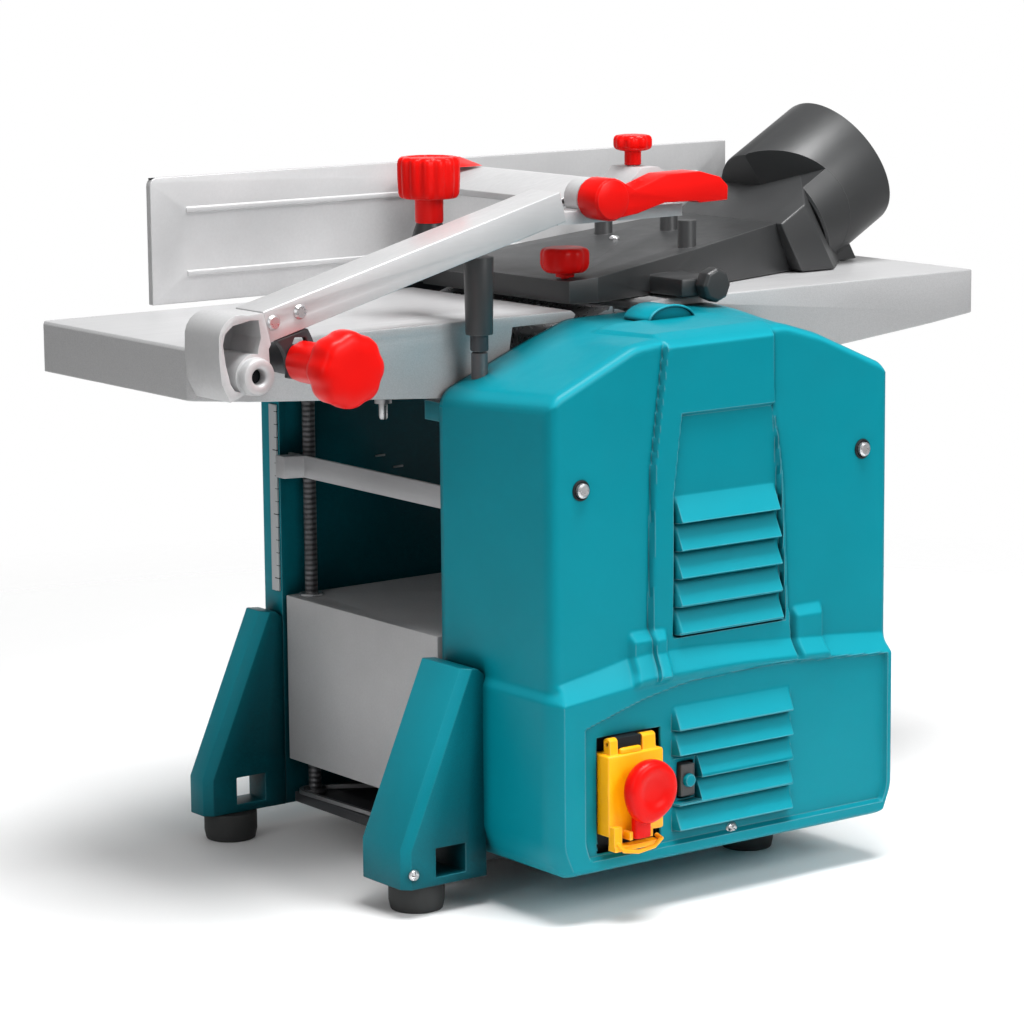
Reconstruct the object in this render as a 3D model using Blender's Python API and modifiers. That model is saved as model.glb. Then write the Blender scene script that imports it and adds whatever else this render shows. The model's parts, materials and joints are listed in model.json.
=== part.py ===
"""Combined planer and thicknesser with its dust hood fitted: one object for each physical piece.

Metres, +Z up. +X runs along the tables towards the outfeed end, +Y from the operator to the fence.
The machine stands on z = 0. Every piece hangs under one empty, which centres the machine in X and Y.
"""

import math

import bmesh
import bpy
from mathutils import Matrix, Vector

# Driving dimensions
CENTRE_X = -0.0027
CENTRE_Y = 0.0498
GAP = 0.0003
TABLE_HALF_LENGTH = 0.3685
TABLE_HALF_WIDTH = 0.1014
INFEED_TOP = 0.4168
OUTFEED_TOP = 0.4185
TABLE_MOUTH = 0.034
PLATE_THICKNESS = 0.008
SKIRT_THICKNESS = 0.008
BODY_LEFT = -0.162
BODY_RIGHT = 0.153
OPENING_HALF_WIDTH = 0.1055
WALL_THICKNESS = 0.0245
COVER_FRONT = -0.2385
COVER_PROUD = -0.2425
COVER_BOTTOM = 0.0326
SHELL = 0.003
LEG_BOTTOM = 0.0216
CUTTER_Z = 0.386
CUTTER_RADIUS = 0.0290
KNIFE_REACH = 0.0308
ROLLER_X = 0.060
ROLLER_Z = 0.3665
ROLLER_RADIUS = 0.0125
MOTOR_X = 0.050
MOTOR_Z = 0.135
BELT_FAR_Y = -0.1345
BELT_NEAR_Y = -0.1465
LIFT_TOP = 0.188
LIFT_BOTTOM = 0.059
LIFT_HALF_WIDTH = 0.100
SCREW_RADIUS = 0.0050
REAR_SCREW = (-0.146, 0.089)
FRONT_SCREW = (0.134, -0.089)
SPINDLE = (-0.135, -0.119)
CHAIN_LOW = 0.0312
CHAIN_HIGH = 0.0350
FENCE_FACE = 0.1047
FENCE_BOTTOM = 0.4202
FENCE_TOP = 0.5146
ARM_DATUM_X = -0.335
ARM_DATUM_Z = 0.399
BOSS_X = -0.3455
BOSS_Z = 0.4005
ARM_SLOPE = math.radians(14.6)
ARM_NEAR = -0.1475
LOWER_RIVET = 0.0155
UPPER_RIVET = 0.0380
RIVET_RISE = 0.0338
ARM_FAR = -0.1125
CRANK_ARM = 0.060
PORT_TILT = math.radians(30)
PORT_RADIUS = 0.058


# Colours, as linear RGB, then roughness and metallic value
FINISHES = {
    "teal_paint": ((0.0, 0.262, 0.327, 1), 0.38, 0.0),
    "teal_plastic": ((0.0, 0.262, 0.327, 1), 0.35, 0.0),
    "cast_aluminium": ((0.56, 0.56, 0.56, 1), 0.45, 0.9),
    "bright_steel": ((0.62, 0.62, 0.62, 1), 0.28, 1.0),
    "grey_steel": ((0.33, 0.33, 0.34, 1), 0.4, 0.6),
    "black_plastic": ((0.055, 0.055, 0.055, 1), 0.5, 0.0),
    "red_plastic": ((0.83, 0.01, 0.01, 1), 0.35, 0.0),
    "yellow_plastic": ((1.0, 0.48, 0.0, 1), 0.35, 0.0),
    "rubber": ((0.022, 0.024, 0.022, 1), 0.8, 0.0),
    "dark_paint": ((0.03, 0.03, 0.035, 1), 0.5, 0.0),
    "scale_strip": ((0.75, 0.75, 0.75, 1), 0.4, 0.2),
}


def clear_scene():
    for old in list(bpy.data.objects):
        bpy.data.objects.remove(old, do_unlink=True)


def new_collection(name):
    made = bpy.data.collections.new(name)
    bpy.context.scene.collection.children.link(made)
    return made


def new_material(name, finish):
    colour, roughness, metallic = finish
    made = bpy.data.materials.new(name)
    made.use_nodes = True
    shader = made.node_tree.nodes["Principled BSDF"]
    shader.inputs["Base Color"].default_value = colour
    shader.inputs["Roughness"].default_value = roughness
    shader.inputs["Metallic"].default_value = metallic
    made.diffuse_color = colour
    return made


clear_scene()
PARTS = new_collection("thickness_planer")
HELPERS = new_collection("helpers")
ORIGIN = bpy.data.objects.new("machine_origin", None)
ORIGIN.location = (CENTRE_X, CENTRE_Y, 0)
PARTS.objects.link(ORIGIN)
MATERIALS = {name: new_material(name, finish) for name, finish in FINISHES.items()}


# Solids, as bmeshes in the machine's own frame


def block(low, high, round_edges=0.0, only_axis=None):
    """A box between two corners. round_edges rounds its edges, or only those along one axis."""
    made = bmesh.new()
    bmesh.ops.create_cube(made, size=1)
    size = Vector(high) - Vector(low)
    middle = (Vector(high) + Vector(low)) / 2
    bmesh.ops.scale(made, verts=made.verts, vec=size)
    bmesh.ops.translate(made, verts=made.verts, vec=middle)
    if round_edges:
        along = {"X": 0, "Y": 1, "Z": 2}
        edges = [
            edge
            for edge in made.edges
            if only_axis is None
            or abs((edge.verts[0].co - edge.verts[1].co).normalized()[along[only_axis]]) > 0.9
        ]
        bmesh.ops.bevel(made, geom=edges, offset=round_edges, segments=2, profile=0.5, affect="EDGES")
    return made


def rod(start, end, radius, end_radius=None, sides=24):
    """A round bar or cone between two points."""
    made = bmesh.new()
    start = Vector(start)
    end = Vector(end)
    bmesh.ops.create_cone(
        made,
        cap_ends=True,
        segments=sides,
        radius1=radius,
        radius2=radius if end_radius is None else end_radius,
        depth=(end - start).length,
    )
    turn = Vector((0, 0, 1)).rotation_difference(end - start).to_matrix().to_4x4()
    place = Matrix.Translation((start + end) / 2) @ turn
    bmesh.ops.transform(made, matrix=place, verts=made.verts)
    return made


def arc(centre, radius, first, last, steps):
    """Points on an arc, with angles in degrees."""
    turns = [math.radians(first + (last - first) * i / steps) for i in range(steps + 1)]
    return [(centre[0] + radius * math.cos(t), centre[1] + radius * math.sin(t)) for t in turns]


def circle(centre, radius, steps=24):
    return arc(centre, radius, 0, 360, steps)[:-1]


PLANES = {
    "X": Matrix(((0, 0, 1, 0), (1, 0, 0, 0), (0, 1, 0, 0), (0, 0, 0, 1))),
    "Y": Matrix(((1, 0, 0, 0), (0, 0, -1, 0), (0, 1, 0, 0), (0, 0, 0, 1))),
    "Z": Matrix.Identity(4),
}


def plate(outlines, axis, low, high):
    """Flat outlines, the first one filled and the others holes, drawn across an axis and extruded along it."""
    curve = bpy.data.curves.new("outline", "CURVE")
    curve.dimensions = "2D"
    curve.fill_mode = "BOTH"
    curve.extrude = (high - low) / 2
    for points in outlines:
        spline = curve.splines.new("POLY")
        spline.points.add(len(points) - 1)
        for point, (across, up) in zip(spline.points, points):
            point.co = (across, up, 0, 1)
        spline.use_cyclic_u = True
    holder = bpy.data.objects.new("outline", curve)
    HELPERS.objects.link(holder)
    bpy.context.view_layer.update()
    graph = bpy.context.evaluated_depsgraph_get()
    mesh = bpy.data.meshes.new_from_object(holder.evaluated_get(graph))
    bpy.data.objects.remove(holder, do_unlink=True)
    made = bmesh.new()
    made.from_mesh(mesh)
    bpy.data.meshes.remove(mesh)
    bmesh.ops.remove_doubles(made, verts=made.verts, dist=0.00001)
    bmesh.ops.transform(made, matrix=PLANES[axis], verts=made.verts)
    shift = {"X": (1, 0, 0), "Y": (0, 1, 0), "Z": (0, 0, 1)}[axis]
    bmesh.ops.translate(made, verts=made.verts, vec=Vector(shift) * (low + high) / 2)
    bmesh.ops.recalc_face_normals(made, faces=made.faces)
    return made


def turned(profile, start, direction, steps=24):
    """A turned solid: (radius, distance along the axis) pairs from its far end back to its start."""
    mesh = bpy.data.meshes.new("profile")
    points = [(radius, 0, along) for radius, along in profile]
    mesh.from_pydata(points, [(i, i + 1) for i in range(len(points) - 1)], [])
    holder = bpy.data.objects.new("profile", mesh)
    HELPERS.objects.link(holder)
    screw = holder.modifiers.new("turn", "SCREW")
    screw.steps = steps
    screw.render_steps = steps
    screw.use_merge_vertices = True
    screw.merge_threshold = 0.00005
    bpy.context.view_layer.update()
    graph = bpy.context.evaluated_depsgraph_get()
    result = bpy.data.meshes.new_from_object(holder.evaluated_get(graph))
    bpy.data.objects.remove(holder, do_unlink=True)
    made = bmesh.new()
    made.from_mesh(result)
    bpy.data.meshes.remove(result)
    bmesh.ops.remove_doubles(made, verts=made.verts, dist=0.00001)
    turn = Vector((0, 0, 1)).rotation_difference(Vector(direction)).to_matrix().to_4x4()
    bmesh.ops.transform(made, matrix=Matrix.Translation(start) @ turn, verts=made.verts)
    bmesh.ops.recalc_face_normals(made, faces=made.faces)
    return made


def moved(solid, shift):
    bmesh.ops.translate(solid, verts=solid.verts, vec=Vector(shift))
    return solid


def tilted(solid, pivot, axis, degrees):
    turn = Matrix.Rotation(math.radians(degrees), 3, axis)
    bmesh.ops.rotate(solid, verts=solid.verts, cent=pivot, matrix=turn)
    return solid


def together(solids):
    """Several solids that don't touch, as one helper."""
    made = bmesh.new()
    for solid in solids:
        mesh = bpy.data.meshes.new("piece")
        solid.to_mesh(mesh)
        solid.free()
        made.from_mesh(mesh)
        bpy.data.meshes.remove(mesh)
    return made


# Objects


def part(name, solid, material, pivot=(0, 0, 0), smooth=True):
    """A named piece, with its origin at pivot, which is on the joint's axis for a piece that moves."""
    bmesh.ops.translate(solid, verts=solid.verts, vec=-Vector(pivot))
    mesh = bpy.data.meshes.new(name)
    solid.to_mesh(mesh)
    solid.free()
    mesh.materials.append(MATERIALS[material])
    made = bpy.data.objects.new(name, mesh)
    made.location = pivot
    made.parent = ORIGIN
    PARTS.objects.link(made)
    if smooth:
        mesh.shade_smooth()
        mesh.set_sharp_from_angle(angle=math.radians(35))
    return made


def combine(target, solid, operation):
    name = f"{target.name}_{operation.lower()}_{len(target.modifiers)}"
    mesh = bpy.data.meshes.new(name)
    solid.to_mesh(mesh)
    solid.free()
    helper = bpy.data.objects.new(name, mesh)
    helper.parent = ORIGIN
    helper.hide_render = True
    helper.display_type = "WIRE"
    HELPERS.objects.link(helper)
    step = target.modifiers.new(name, "BOOLEAN")
    step.operation = operation
    step.object = helper


def cut(target, *solids):
    for solid in solids:
        combine(target, solid, "DIFFERENCE")


def add(target, *solids):
    for solid in solids:
        combine(target, solid, "UNION")


# Frame


def front_wall_outline():
    return [
        (BODY_LEFT + SHELL + 0.0011, 0.064),
        (-0.1475, 0.040),
        (0.1390, 0.040),
        (BODY_RIGHT - SHELL - 0.0009, 0.064),
        (BODY_RIGHT - SHELL - 0.0009, 0.379),
        (0.112, 0.398),
        (0.084, 0.405),
        (-0.045, 0.4035),
        (-0.100, 0.3840),
        (BODY_LEFT + SHELL + 0.0011, 0.3600),
    ]


def ledges(side):
    """Short shelves on a wall's inner face, which carry the two tables' skirts."""
    inner = side * 0.079
    face = side * (OPENING_HALF_WIDTH + 0.001)
    low_y, high_y = sorted((inner, face))
    return [
        block((-0.1555, low_y, 0.345), (-0.1120, high_y, 0.3590)),
        block((0.1050, low_y, 0.345), (0.1455, high_y, 0.3590)),
    ]


def screw_top_bearing(place):
    """The blind bore in a ledge that a leadscrew's top end turns in."""
    return rod((*place, 0.33), (*place, 0.3564), SCREW_RADIUS + GAP, sides=20)


def make_front_side_wall():
    far = -OPENING_HALF_WIDTH
    near = far - WALL_THICKNESS
    wall = part("front_side_wall", plate([front_wall_outline()], "Y", near, far), "teal_paint")
    add(wall, together(ledges(-1)))
    bores = [rod((0, near - 0.01, CUTTER_Z), (0, far + 0.01, CUTTER_Z), 0.0165, sides=32)]
    for x in (-ROLLER_X, ROLLER_X):
        bores.append(rod((x, far - 0.014, ROLLER_Z), (x, far + 0.01, ROLLER_Z), 0.0063, sides=16))
    cut(wall, together(bores))
    cut(wall, rod((SPINDLE[0], SPINDLE[1], 0.02), (SPINDLE[0], SPINDLE[1], 0.45), 0.0088, sides=16))
    cut(wall, screw_top_bearing(FRONT_SCREW))


def make_rear_side_wall():
    near = OPENING_HALF_WIDTH
    far = near + WALL_THICKNESS
    outline = [
        (BODY_LEFT, 0.022),
        (BODY_RIGHT, 0.022),
        (BODY_RIGHT, 0.392),
        (0.110, 0.408),
        (-0.120, 0.408),
        (BODY_LEFT, 0.392),
    ]
    wall = part("rear_side_wall", plate([outline], "Y", near, far), "teal_paint")
    add(wall, together(ledges(1)))
    bores = [rod((0, near - 0.01, CUTTER_Z), (0, far + 0.01, CUTTER_Z), 0.0165, sides=32)]
    for x in (-ROLLER_X, ROLLER_X):
        bores.append(rod((x, near - 0.01, ROLLER_Z), (x, far + 0.01, ROLLER_Z), 0.0063, sides=16))
    cut(wall, together(bores))
    cut(wall, screw_top_bearing(REAR_SCREW))


def make_base_pan():
    low = (-0.1545, -0.1288, 0.0225)
    high = (0.148, 0.1052, 0.0305)
    pan = part("base_pan", block(low, high), "dark_paint")
    pockets = [
        block((-0.125, -0.095, 0.0255), (0.120, 0.095, 0.0400)),
    ]
    cut(pan, *pockets)


def make_front_cover():
    """A moulded shell, open at the back: a loft from its front face to its wider back rim."""
    front = [
        (-0.151, COVER_BOTTOM),
        (-0.159, 0.058),
        (-0.1605, 0.372),
        (-0.086, 0.4085),
        (-0.061, 0.4115),
        (0.054, 0.4135),
        (0.085, 0.403),
        (0.1515, 0.374),
        (0.151, 0.058),
        (0.143, COVER_BOTTOM),
    ]
    rear = [
        (-0.151, COVER_BOTTOM),
        (BODY_LEFT, 0.058),
        (BODY_LEFT, 0.368),
        (-0.100, 0.3935),
        (-0.047, 0.4125),
        (0.087, 0.4150),
        (0.118, 0.4065),
        (BODY_RIGHT, 0.388),
        (BODY_RIGHT, 0.058),
        (0.143, COVER_BOTTOM),
    ]
    solid = bmesh.new()
    shoulder = COVER_FRONT + 0.006
    loops = [
        [solid.verts.new((x * 0.985, COVER_FRONT, z if z < 0.05 else z - 0.004)) for x, z in front],
        [solid.verts.new((x, shoulder, z)) for x, z in front],
        [solid.verts.new((x, -OPENING_HALF_WIDTH, z)) for x, z in rear],
    ]
    solid.faces.new(loops[0])
    for near, far in zip(loops, loops[1:]):
        for i in range(len(front)):
            following = (i + 1) % len(front)
            solid.faces.new((near[i], far[i], far[following], near[following]))
    bmesh.ops.recalc_face_normals(solid, faces=solid.faces)
    towards_front = [face for face in solid.faces if len(face.verts) > 4][0]
    if towards_front.normal.y > 0:
        bmesh.ops.reverse_faces(solid, faces=solid.faces)
    cover = part("front_cover", solid, "teal_plastic")
    shell = cover.modifiers.new("wall", "SOLIDIFY")
    shell.thickness = SHELL
    shell.offset = -1
    shell.use_even_offset = True
    skirt = [
        (-0.149, COVER_BOTTOM),
        (-0.157, 0.058),
        (-0.158, 0.160),
        (-0.103, 0.184),
        (-0.030, 0.1905),
        (0.085, 0.186),
        (0.149, 0.178),
        (0.149, 0.058),
        (0.141, COVER_BOTTOM),
    ]
    centre = [(-0.073, 0.180), (0.058, 0.180), (0.048, 0.299), (0.039, 0.400), (-0.060, 0.400), (-0.072, 0.319)]
    add(cover, plate([skirt], "Y", COVER_PROUD, COVER_FRONT + 0.001))
    add(cover, plate([centre], "Y", COVER_PROUD + 0.0015, COVER_FRONT + 0.0012))
    cut(cover, block((-0.1278, -0.26, 0.0495), (-0.0700, -0.22, 0.1340)))
    window = [(-0.057, 0.200), (0.048, 0.200), (0.045, 0.298), (0.040, 0.355), (-0.048, 0.355), (-0.056, 0.298)]
    cut(cover, plate([window], "Y", -0.26, COVER_PROUD + 0.0030))
    cut(cover, block((-0.0555, -0.26, 0.055), (0.0500, COVER_PROUD + 0.002, 0.148)))
    slats = []
    for row in range(5):
        for left, right, bottom in ((-0.052, 0.042, 0.202), (-0.052, 0.0465, 0.0575)):
            pitch = 0.0195 if bottom > 0.1 else 0.0182
            low = bottom + pitch * row
            profile = [
                (COVER_PROUD + 0.0042, low + 0.001),
                (COVER_PROUD + 0.0005, low + 0.001),
                (COVER_PROUD + 0.0042, low + pitch * 0.8),
            ]
            slats.append(plate([profile], "X", left, right))
    add(cover, together(slats))
    rims = []
    for x, z in ((-0.136, 0.311), (0.126, 0.314)):
        rims.append(rod((x, -0.26, z), (x, COVER_FRONT + 0.01, z), 0.0024, sides=12))
    rims.append(block((-0.0552, -0.26, 0.0785), (-0.0396, -0.220, 0.1055)))
    cut(cover, together(rims))
    cut(cover, rod((SPINDLE[0], SPINDLE[1], 0.36), (SPINDLE[0], SPINDLE[1], 0.45), 0.0105, sides=20))
    cut(cover, rod((0.09, -0.150, 0.02), (0.09, -0.150, 0.05), 0.0045, sides=12))
    cut(cover, block((-0.1495, -0.1330, 0.02), (0.141, -0.100, 0.050)))


def make_rear_cover():
    near = OPENING_HALF_WIDTH + WALL_THICKNESS + GAP
    outline = [(-0.125, 0.200), (0.120, 0.200), (0.120, 0.402), (-0.125, 0.402)]
    cover = part("rear_cover", plate([outline], "Y", near, 0.160), "teal_plastic")
    cut(cover, block((-0.122, near - 0.01, 0.203), (0.117, 0.157, 0.399)))


def leg_outline():
    return [
        (-0.2345, LEG_BOTTOM),
        (BODY_LEFT - GAP, LEG_BOTTOM),
        (BODY_LEFT - GAP, 0.170),
        (-0.1685, 0.175),
        (-0.1800, 0.176),
        (-0.2345, 0.051),
    ]


def make_legs():
    window = [(-0.207, 0.028), (-0.181, 0.028), (-0.181, 0.049), (-0.207, 0.049)]
    legs = {"front_left_leg": (-0.159, -0.106), "rear_left_leg": (0.1055, 0.1295)}
    for name, (near, far) in legs.items():
        leg = part(name, plate([leg_outline(), window], "Y", near, far), "teal_paint")
        middle = (near + far) / 2
        cut(leg, rod((-0.206, middle, 0.01), (-0.206, middle, 0.0262), 0.0045, sides=12))


def make_feet():
    places = {
        "foot_front_left": (-0.206, -0.1325, LEG_BOTTOM),
        "foot_rear_left": (-0.206, 0.1175, LEG_BOTTOM),
        "foot_front_right": (0.090, -0.150, COVER_BOTTOM),
        "foot_rear_right": (0.120, 0.1175, 0.022),
    }
    for name, (x, y, top) in places.items():
        top -= GAP
        profile = [(0, top + 0.003), (0.004, top + 0.003), (0.004, top), (0.0205, top)]
        profile += [(0.0205, 0.007), (0.0190, 0.0), (0, 0.0)]
        part(name, turned(profile, (x, y, 0), (0, 0, 1)), "rubber", pivot=(x, y, 0))
    cut(
        bpy.data.objects["rear_side_wall"],
        rod((0.120, 0.1175, 0.01), (0.120, 0.1175, 0.0258), 0.0045, sides=12),
    )


# Tables


def table_outline(top, end_bottom, middle_bottom, shoulder):
    """Side view of a table, drawn with its outer end at a positive distance from the cutter."""
    return [
        (TABLE_MOUTH, top - 0.003),
        (TABLE_MOUTH + 0.004, top),
        (TABLE_HALF_LENGTH - 0.002, top),
        (TABLE_HALF_LENGTH, top - 0.002),
        (TABLE_HALF_LENGTH, end_bottom),
        (TABLE_HALF_LENGTH - 0.050, middle_bottom),
        (shoulder, 0.3628),
        (0.100, 0.3628),
        (0.092, top - PLATE_THICKNESS),
        (TABLE_MOUTH + 0.003, top - PLATE_THICKNESS),
    ]


def make_tables():
    tables = {
        "infeed_table": (-1, INFEED_TOP, 0.3802, 0.375, "cast_aluminium"),
        "outfeed_table": (1, OUTFEED_TOP, 0.3839, 0.378, "cast_aluminium"),
    }
    for name, (side, top, end_bottom, middle_bottom, material) in tables.items():
        outline = [(side * x, z) for x, z in table_outline(top, end_bottom, middle_bottom, 0.160)]
        table = part(name, plate([outline], "Y", -TABLE_HALF_WIDTH, TABLE_HALF_WIDTH), material)
        inner = sorted((side * 0.104, side * (TABLE_HALF_LENGTH - SKIRT_THICKNESS)))
        half = TABLE_HALF_WIDTH - SKIRT_THICKNESS
        middle = sum(inner) / 2
        bays = [
            block((inner[0], -half, 0.34), (middle - 0.003, half, top - PLATE_THICKNESS)),
            block((middle + 0.003, -half, 0.34), (inner[1], half, top - PLATE_THICKNESS)),
        ]
        cut(table, together(bays))
        corners = []
        for y in (-TABLE_HALF_WIDTH, TABLE_HALF_WIDTH):
            turn = 45
            corner = block((-0.004, -0.004, 0.33), (0.004, 0.004, 0.45))
            tilted(corner, (0, 0, 0), "Z", turn)
            corners.append(moved(corner, (side * (TABLE_HALF_LENGTH + 0.0012), y * 1.012, 0)))
        cut(table, together(corners))


def make_thickness_scale():
    low = (BODY_LEFT - 0.0015, 0.1075, 0.190)
    high = (BODY_LEFT - GAP, 0.1175, 0.335)
    part("thickness_scale", block(low, high), "scale_strip", smooth=False)


# Cutter, feed and drive


def make_cutter():
    half = 0.1010
    profile = [
        (0, 0.302),
        (0.0080, 0.302),
        (0.0080, 0.263),
        (0.0098, 0.262),
        (0.0098, 0.176 + half),
        (CUTTER_RADIUS, 0.176 + half),
        (CUTTER_RADIUS, 0.176 - half),
        (0.0098, 0.176 - half),
        (0.0098, 0.0555),
        (0.0080, 0.0545),
        (0.0080, 0.0),
        (0, 0.0),
    ]
    axis_point = (0, 0, CUTTER_Z)
    solid = turned(profile, (0, -0.176, CUTTER_Z), (0, 1, 0), steps=28)
    cutter = part("cutter_block", solid, "bright_steel", pivot=axis_point)
    slots = []
    for side in (-1, 1):
        ends = sorted((side * 0.0165, side * 0.040))
        slots.append(block((-0.0020, -0.12, CUTTER_Z + ends[0]), (0.0020, 0.12, CUTTER_Z + ends[1])))
    cut(cutter, together(slots))
    for name, side in (("planer_knife_a", 1), ("planer_knife_b", -1)):
        ends = sorted((side * 0.0170, side * KNIFE_REACH))
        low = (-0.0015, -0.1000, CUTTER_Z + ends[0])
        high = (0.0015, 0.1000, CUTTER_Z + ends[1])
        part(name, block(low, high), "bright_steel", pivot=axis_point, smooth=False)


def make_bearings():
    places = {"cutter_bearing_front": -0.1275, "cutter_bearing_rear": 0.1135}
    for name, start in places.items():
        rings = [circle((0, CUTTER_Z), 0.0161, 32), circle((0, CUTTER_Z), 0.0102, 24)]
        part(name, plate(rings, "Y", start, start + 0.014), "bright_steel", pivot=(0, 0, CUTTER_Z))


def make_feed_rollers():
    for name, x in (("infeed_roller", -ROLLER_X), ("outfeed_roller", ROLLER_X)):
        profile = [
            (0, 0.2645),
            (0.0058, 0.2645),
            (0.0058, 0.2610),
            (0.0120, 0.2610),
            (0.0120, 0.2570),
            (0.0058, 0.2570),
            (0.0058, 0.2180),
            (ROLLER_RADIUS, 0.2180),
            (ROLLER_RADIUS, 0.0130),
            (0.0058, 0.0130),
            (0.0058, 0.0),
            (0, 0.0),
        ]
        start = (x, -0.1165, ROLLER_Z)
        part(name, turned(profile, start, (0, 1, 0)), "grey_steel", pivot=(x, 0, ROLLER_Z))


def loop_around(circles, low, high, axis, thickness):
    """A belt or chain: the outline around round wheels, given in turning order, with the wheels' side left open."""
    outlines = []
    for grow in (thickness, 0.0):
        points = []
        count = len(circles)
        for i, (centre, radius) in enumerate(circles):
            before, _ = circles[i - 1]
            after, _ = circles[(i + 1) % count]
            incoming = math.degrees(math.atan2(centre[1] - before[1], centre[0] - before[0])) - 90
            outgoing = math.degrees(math.atan2(after[1] - centre[1], after[0] - centre[0])) - 90
            while outgoing < incoming:
                outgoing += 360
            points += arc(centre, radius + grow, incoming, outgoing, 10)
        outlines.append(points)
    return plate(outlines, axis, low, high)


def grooved_pulley(radius, bore, width):
    rim = radius + 0.003
    return [
        (bore, width),
        (rim, width),
        (rim, width - 0.0015),
        (radius, width - 0.0016),
        (radius, 0.0016),
        (rim, 0.0015),
        (rim, 0.0),
        (bore, 0.0),
        (bore, width),
    ]


def make_drive():
    width = BELT_FAR_Y - BELT_NEAR_Y
    small = 0.0150
    large = 0.0200
    pulley = grooved_pulley(small, 0.0083, width)
    solid = turned(pulley, (0, BELT_NEAR_Y, CUTTER_Z), (0, 1, 0))
    part("cutter_pulley", solid, "grey_steel", pivot=(0, BELT_NEAR_Y, CUTTER_Z))
    pulley = grooved_pulley(large, 0.0063, width)
    solid = turned(pulley, (MOTOR_X, BELT_NEAR_Y, MOTOR_Z), (0, 1, 0))
    part("motor_pulley", solid, "grey_steel", pivot=(MOTOR_X, BELT_NEAR_Y, MOTOR_Z))
    wheels = [((MOTOR_X, MOTOR_Z), large + 0.0004), ((0, CUTTER_Z), small + 0.0004)]
    belt = loop_around(wheels, BELT_NEAR_Y + 0.0022, BELT_FAR_Y - 0.0022, "Y", 0.0022)
    part("drive_belt", belt, "rubber")
    profile = [
        (0, 0.1010),
        (0.0060, 0.1010),
        (0.0060, 0.0800),
        (0.0300, 0.0800),
        (0.0440, 0.0760),
        (0.0440, 0.0060),
        (0.0380, 0.0),
        (0, 0.0),
    ]
    start = (MOTOR_X, -0.2345, MOTOR_Z)
    motor = part("motor", turned(profile, start, (0, 1, 0), steps=28), "dark_paint")
    foot = block((MOTOR_X - 0.030, -0.2150, MOTOR_Z - 0.052), (MOTOR_X + 0.030, -0.1304, MOTOR_Z - 0.040))
    add(motor, foot)


def make_feed_drive():
    """Gearbox on the cutter's rear end, and the chain that turns both feed rollers."""
    wall = OPENING_HALF_WIDTH + WALL_THICKNESS
    box = block((-0.040, wall + GAP, 0.255), (0.040, 0.1535, 0.340))
    gearbox = part("feed_gearbox", box, "cast_aluminium")
    wheels = [((ROLLER_X, ROLLER_Z), 0.0124), ((-ROLLER_X, ROLLER_Z), 0.0124)]
    part("feed_chain", loop_around(wheels, 0.1410, 0.1440, "Y", 0.0030), "grey_steel")
    add(gearbox, block((-0.010, wall + GAP, 0.330), (0.010, 0.1340, 0.3475)))


# Thicknessing table and its lift


def make_thickness_table():
    low = (BODY_LEFT, -LIFT_HALF_WIDTH, LIFT_BOTTOM)
    high = (BODY_RIGHT - 0.001, LIFT_HALF_WIDTH, LIFT_TOP)
    table = part("thickness_table", block(low, high), "cast_aluminium", pivot=(0, 0, LIFT_TOP), smooth=False)
    skin = 0.004
    nut_bay = 0.034
    hollow = [
        (low[0] + skin, -LIFT_HALF_WIDTH + skin),
        (high[0] - nut_bay, -LIFT_HALF_WIDTH + skin),
        (high[0] - nut_bay, -LIFT_HALF_WIDTH + nut_bay),
        (high[0] - skin, -LIFT_HALF_WIDTH + nut_bay),
        (high[0] - skin, LIFT_HALF_WIDTH - skin),
        (low[0] + nut_bay, LIFT_HALF_WIDTH - skin),
        (low[0] + nut_bay, LIFT_HALF_WIDTH - nut_bay),
        (low[0] + skin, LIFT_HALF_WIDTH - nut_bay),
    ]
    cut(table, plate([hollow], "Z", LIFT_BOTTOM - 0.01, LIFT_TOP - 0.010))
    bores = []
    for x, y in (REAR_SCREW, FRONT_SCREW):
        bores.append(rod((x, y, 0.05), (x, y, 0.20), SCREW_RADIUS + 0.0006, sides=20))
    cut(table, together(bores))


def lift_screw_profile(length):
    """A plain-sided screw with its sprocket near the foot."""
    return [
        (0, length),
        (SCREW_RADIUS - 0.001, length),
        (SCREW_RADIUS, length - 0.001),
        (SCREW_RADIUS, CHAIN_HIGH),
        (0.0090, CHAIN_HIGH),
        (0.0090, CHAIN_LOW),
        (0, CHAIN_LOW),
    ]


def make_lift():
    for name, (x, y) in (("rear_leadscrew", REAR_SCREW), ("front_leadscrew", FRONT_SCREW)):
        solid = turned(lift_screw_profile(0.3560), (x, y, 0), (0, 0, 1), steps=20)
        part(name, solid, "grey_steel", pivot=(x, y, 0))
    profile = [
        (0, 0.3965),
        (0.0065, 0.3965),
        (0.0075, 0.3955),
        (0.0075, CHAIN_HIGH),
        (0.0090, CHAIN_HIGH),
        (0.0090, CHAIN_LOW),
        (0, CHAIN_LOW),
    ]
    solid = turned(profile, (*SPINDLE, 0), (0, 0, 1), steps=20)
    part("lift_spindle", solid, "bright_steel", pivot=(*SPINDLE, 0))
    around = [(SPINDLE, 0.0094), (FRONT_SCREW, 0.0094), (REAR_SCREW, 0.0094)]
    chain = loop_around(around, CHAIN_LOW + 0.0004, CHAIN_HIGH - 0.0004, "Z", 0.0030)
    part("lift_chain", chain, "grey_steel")


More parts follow.
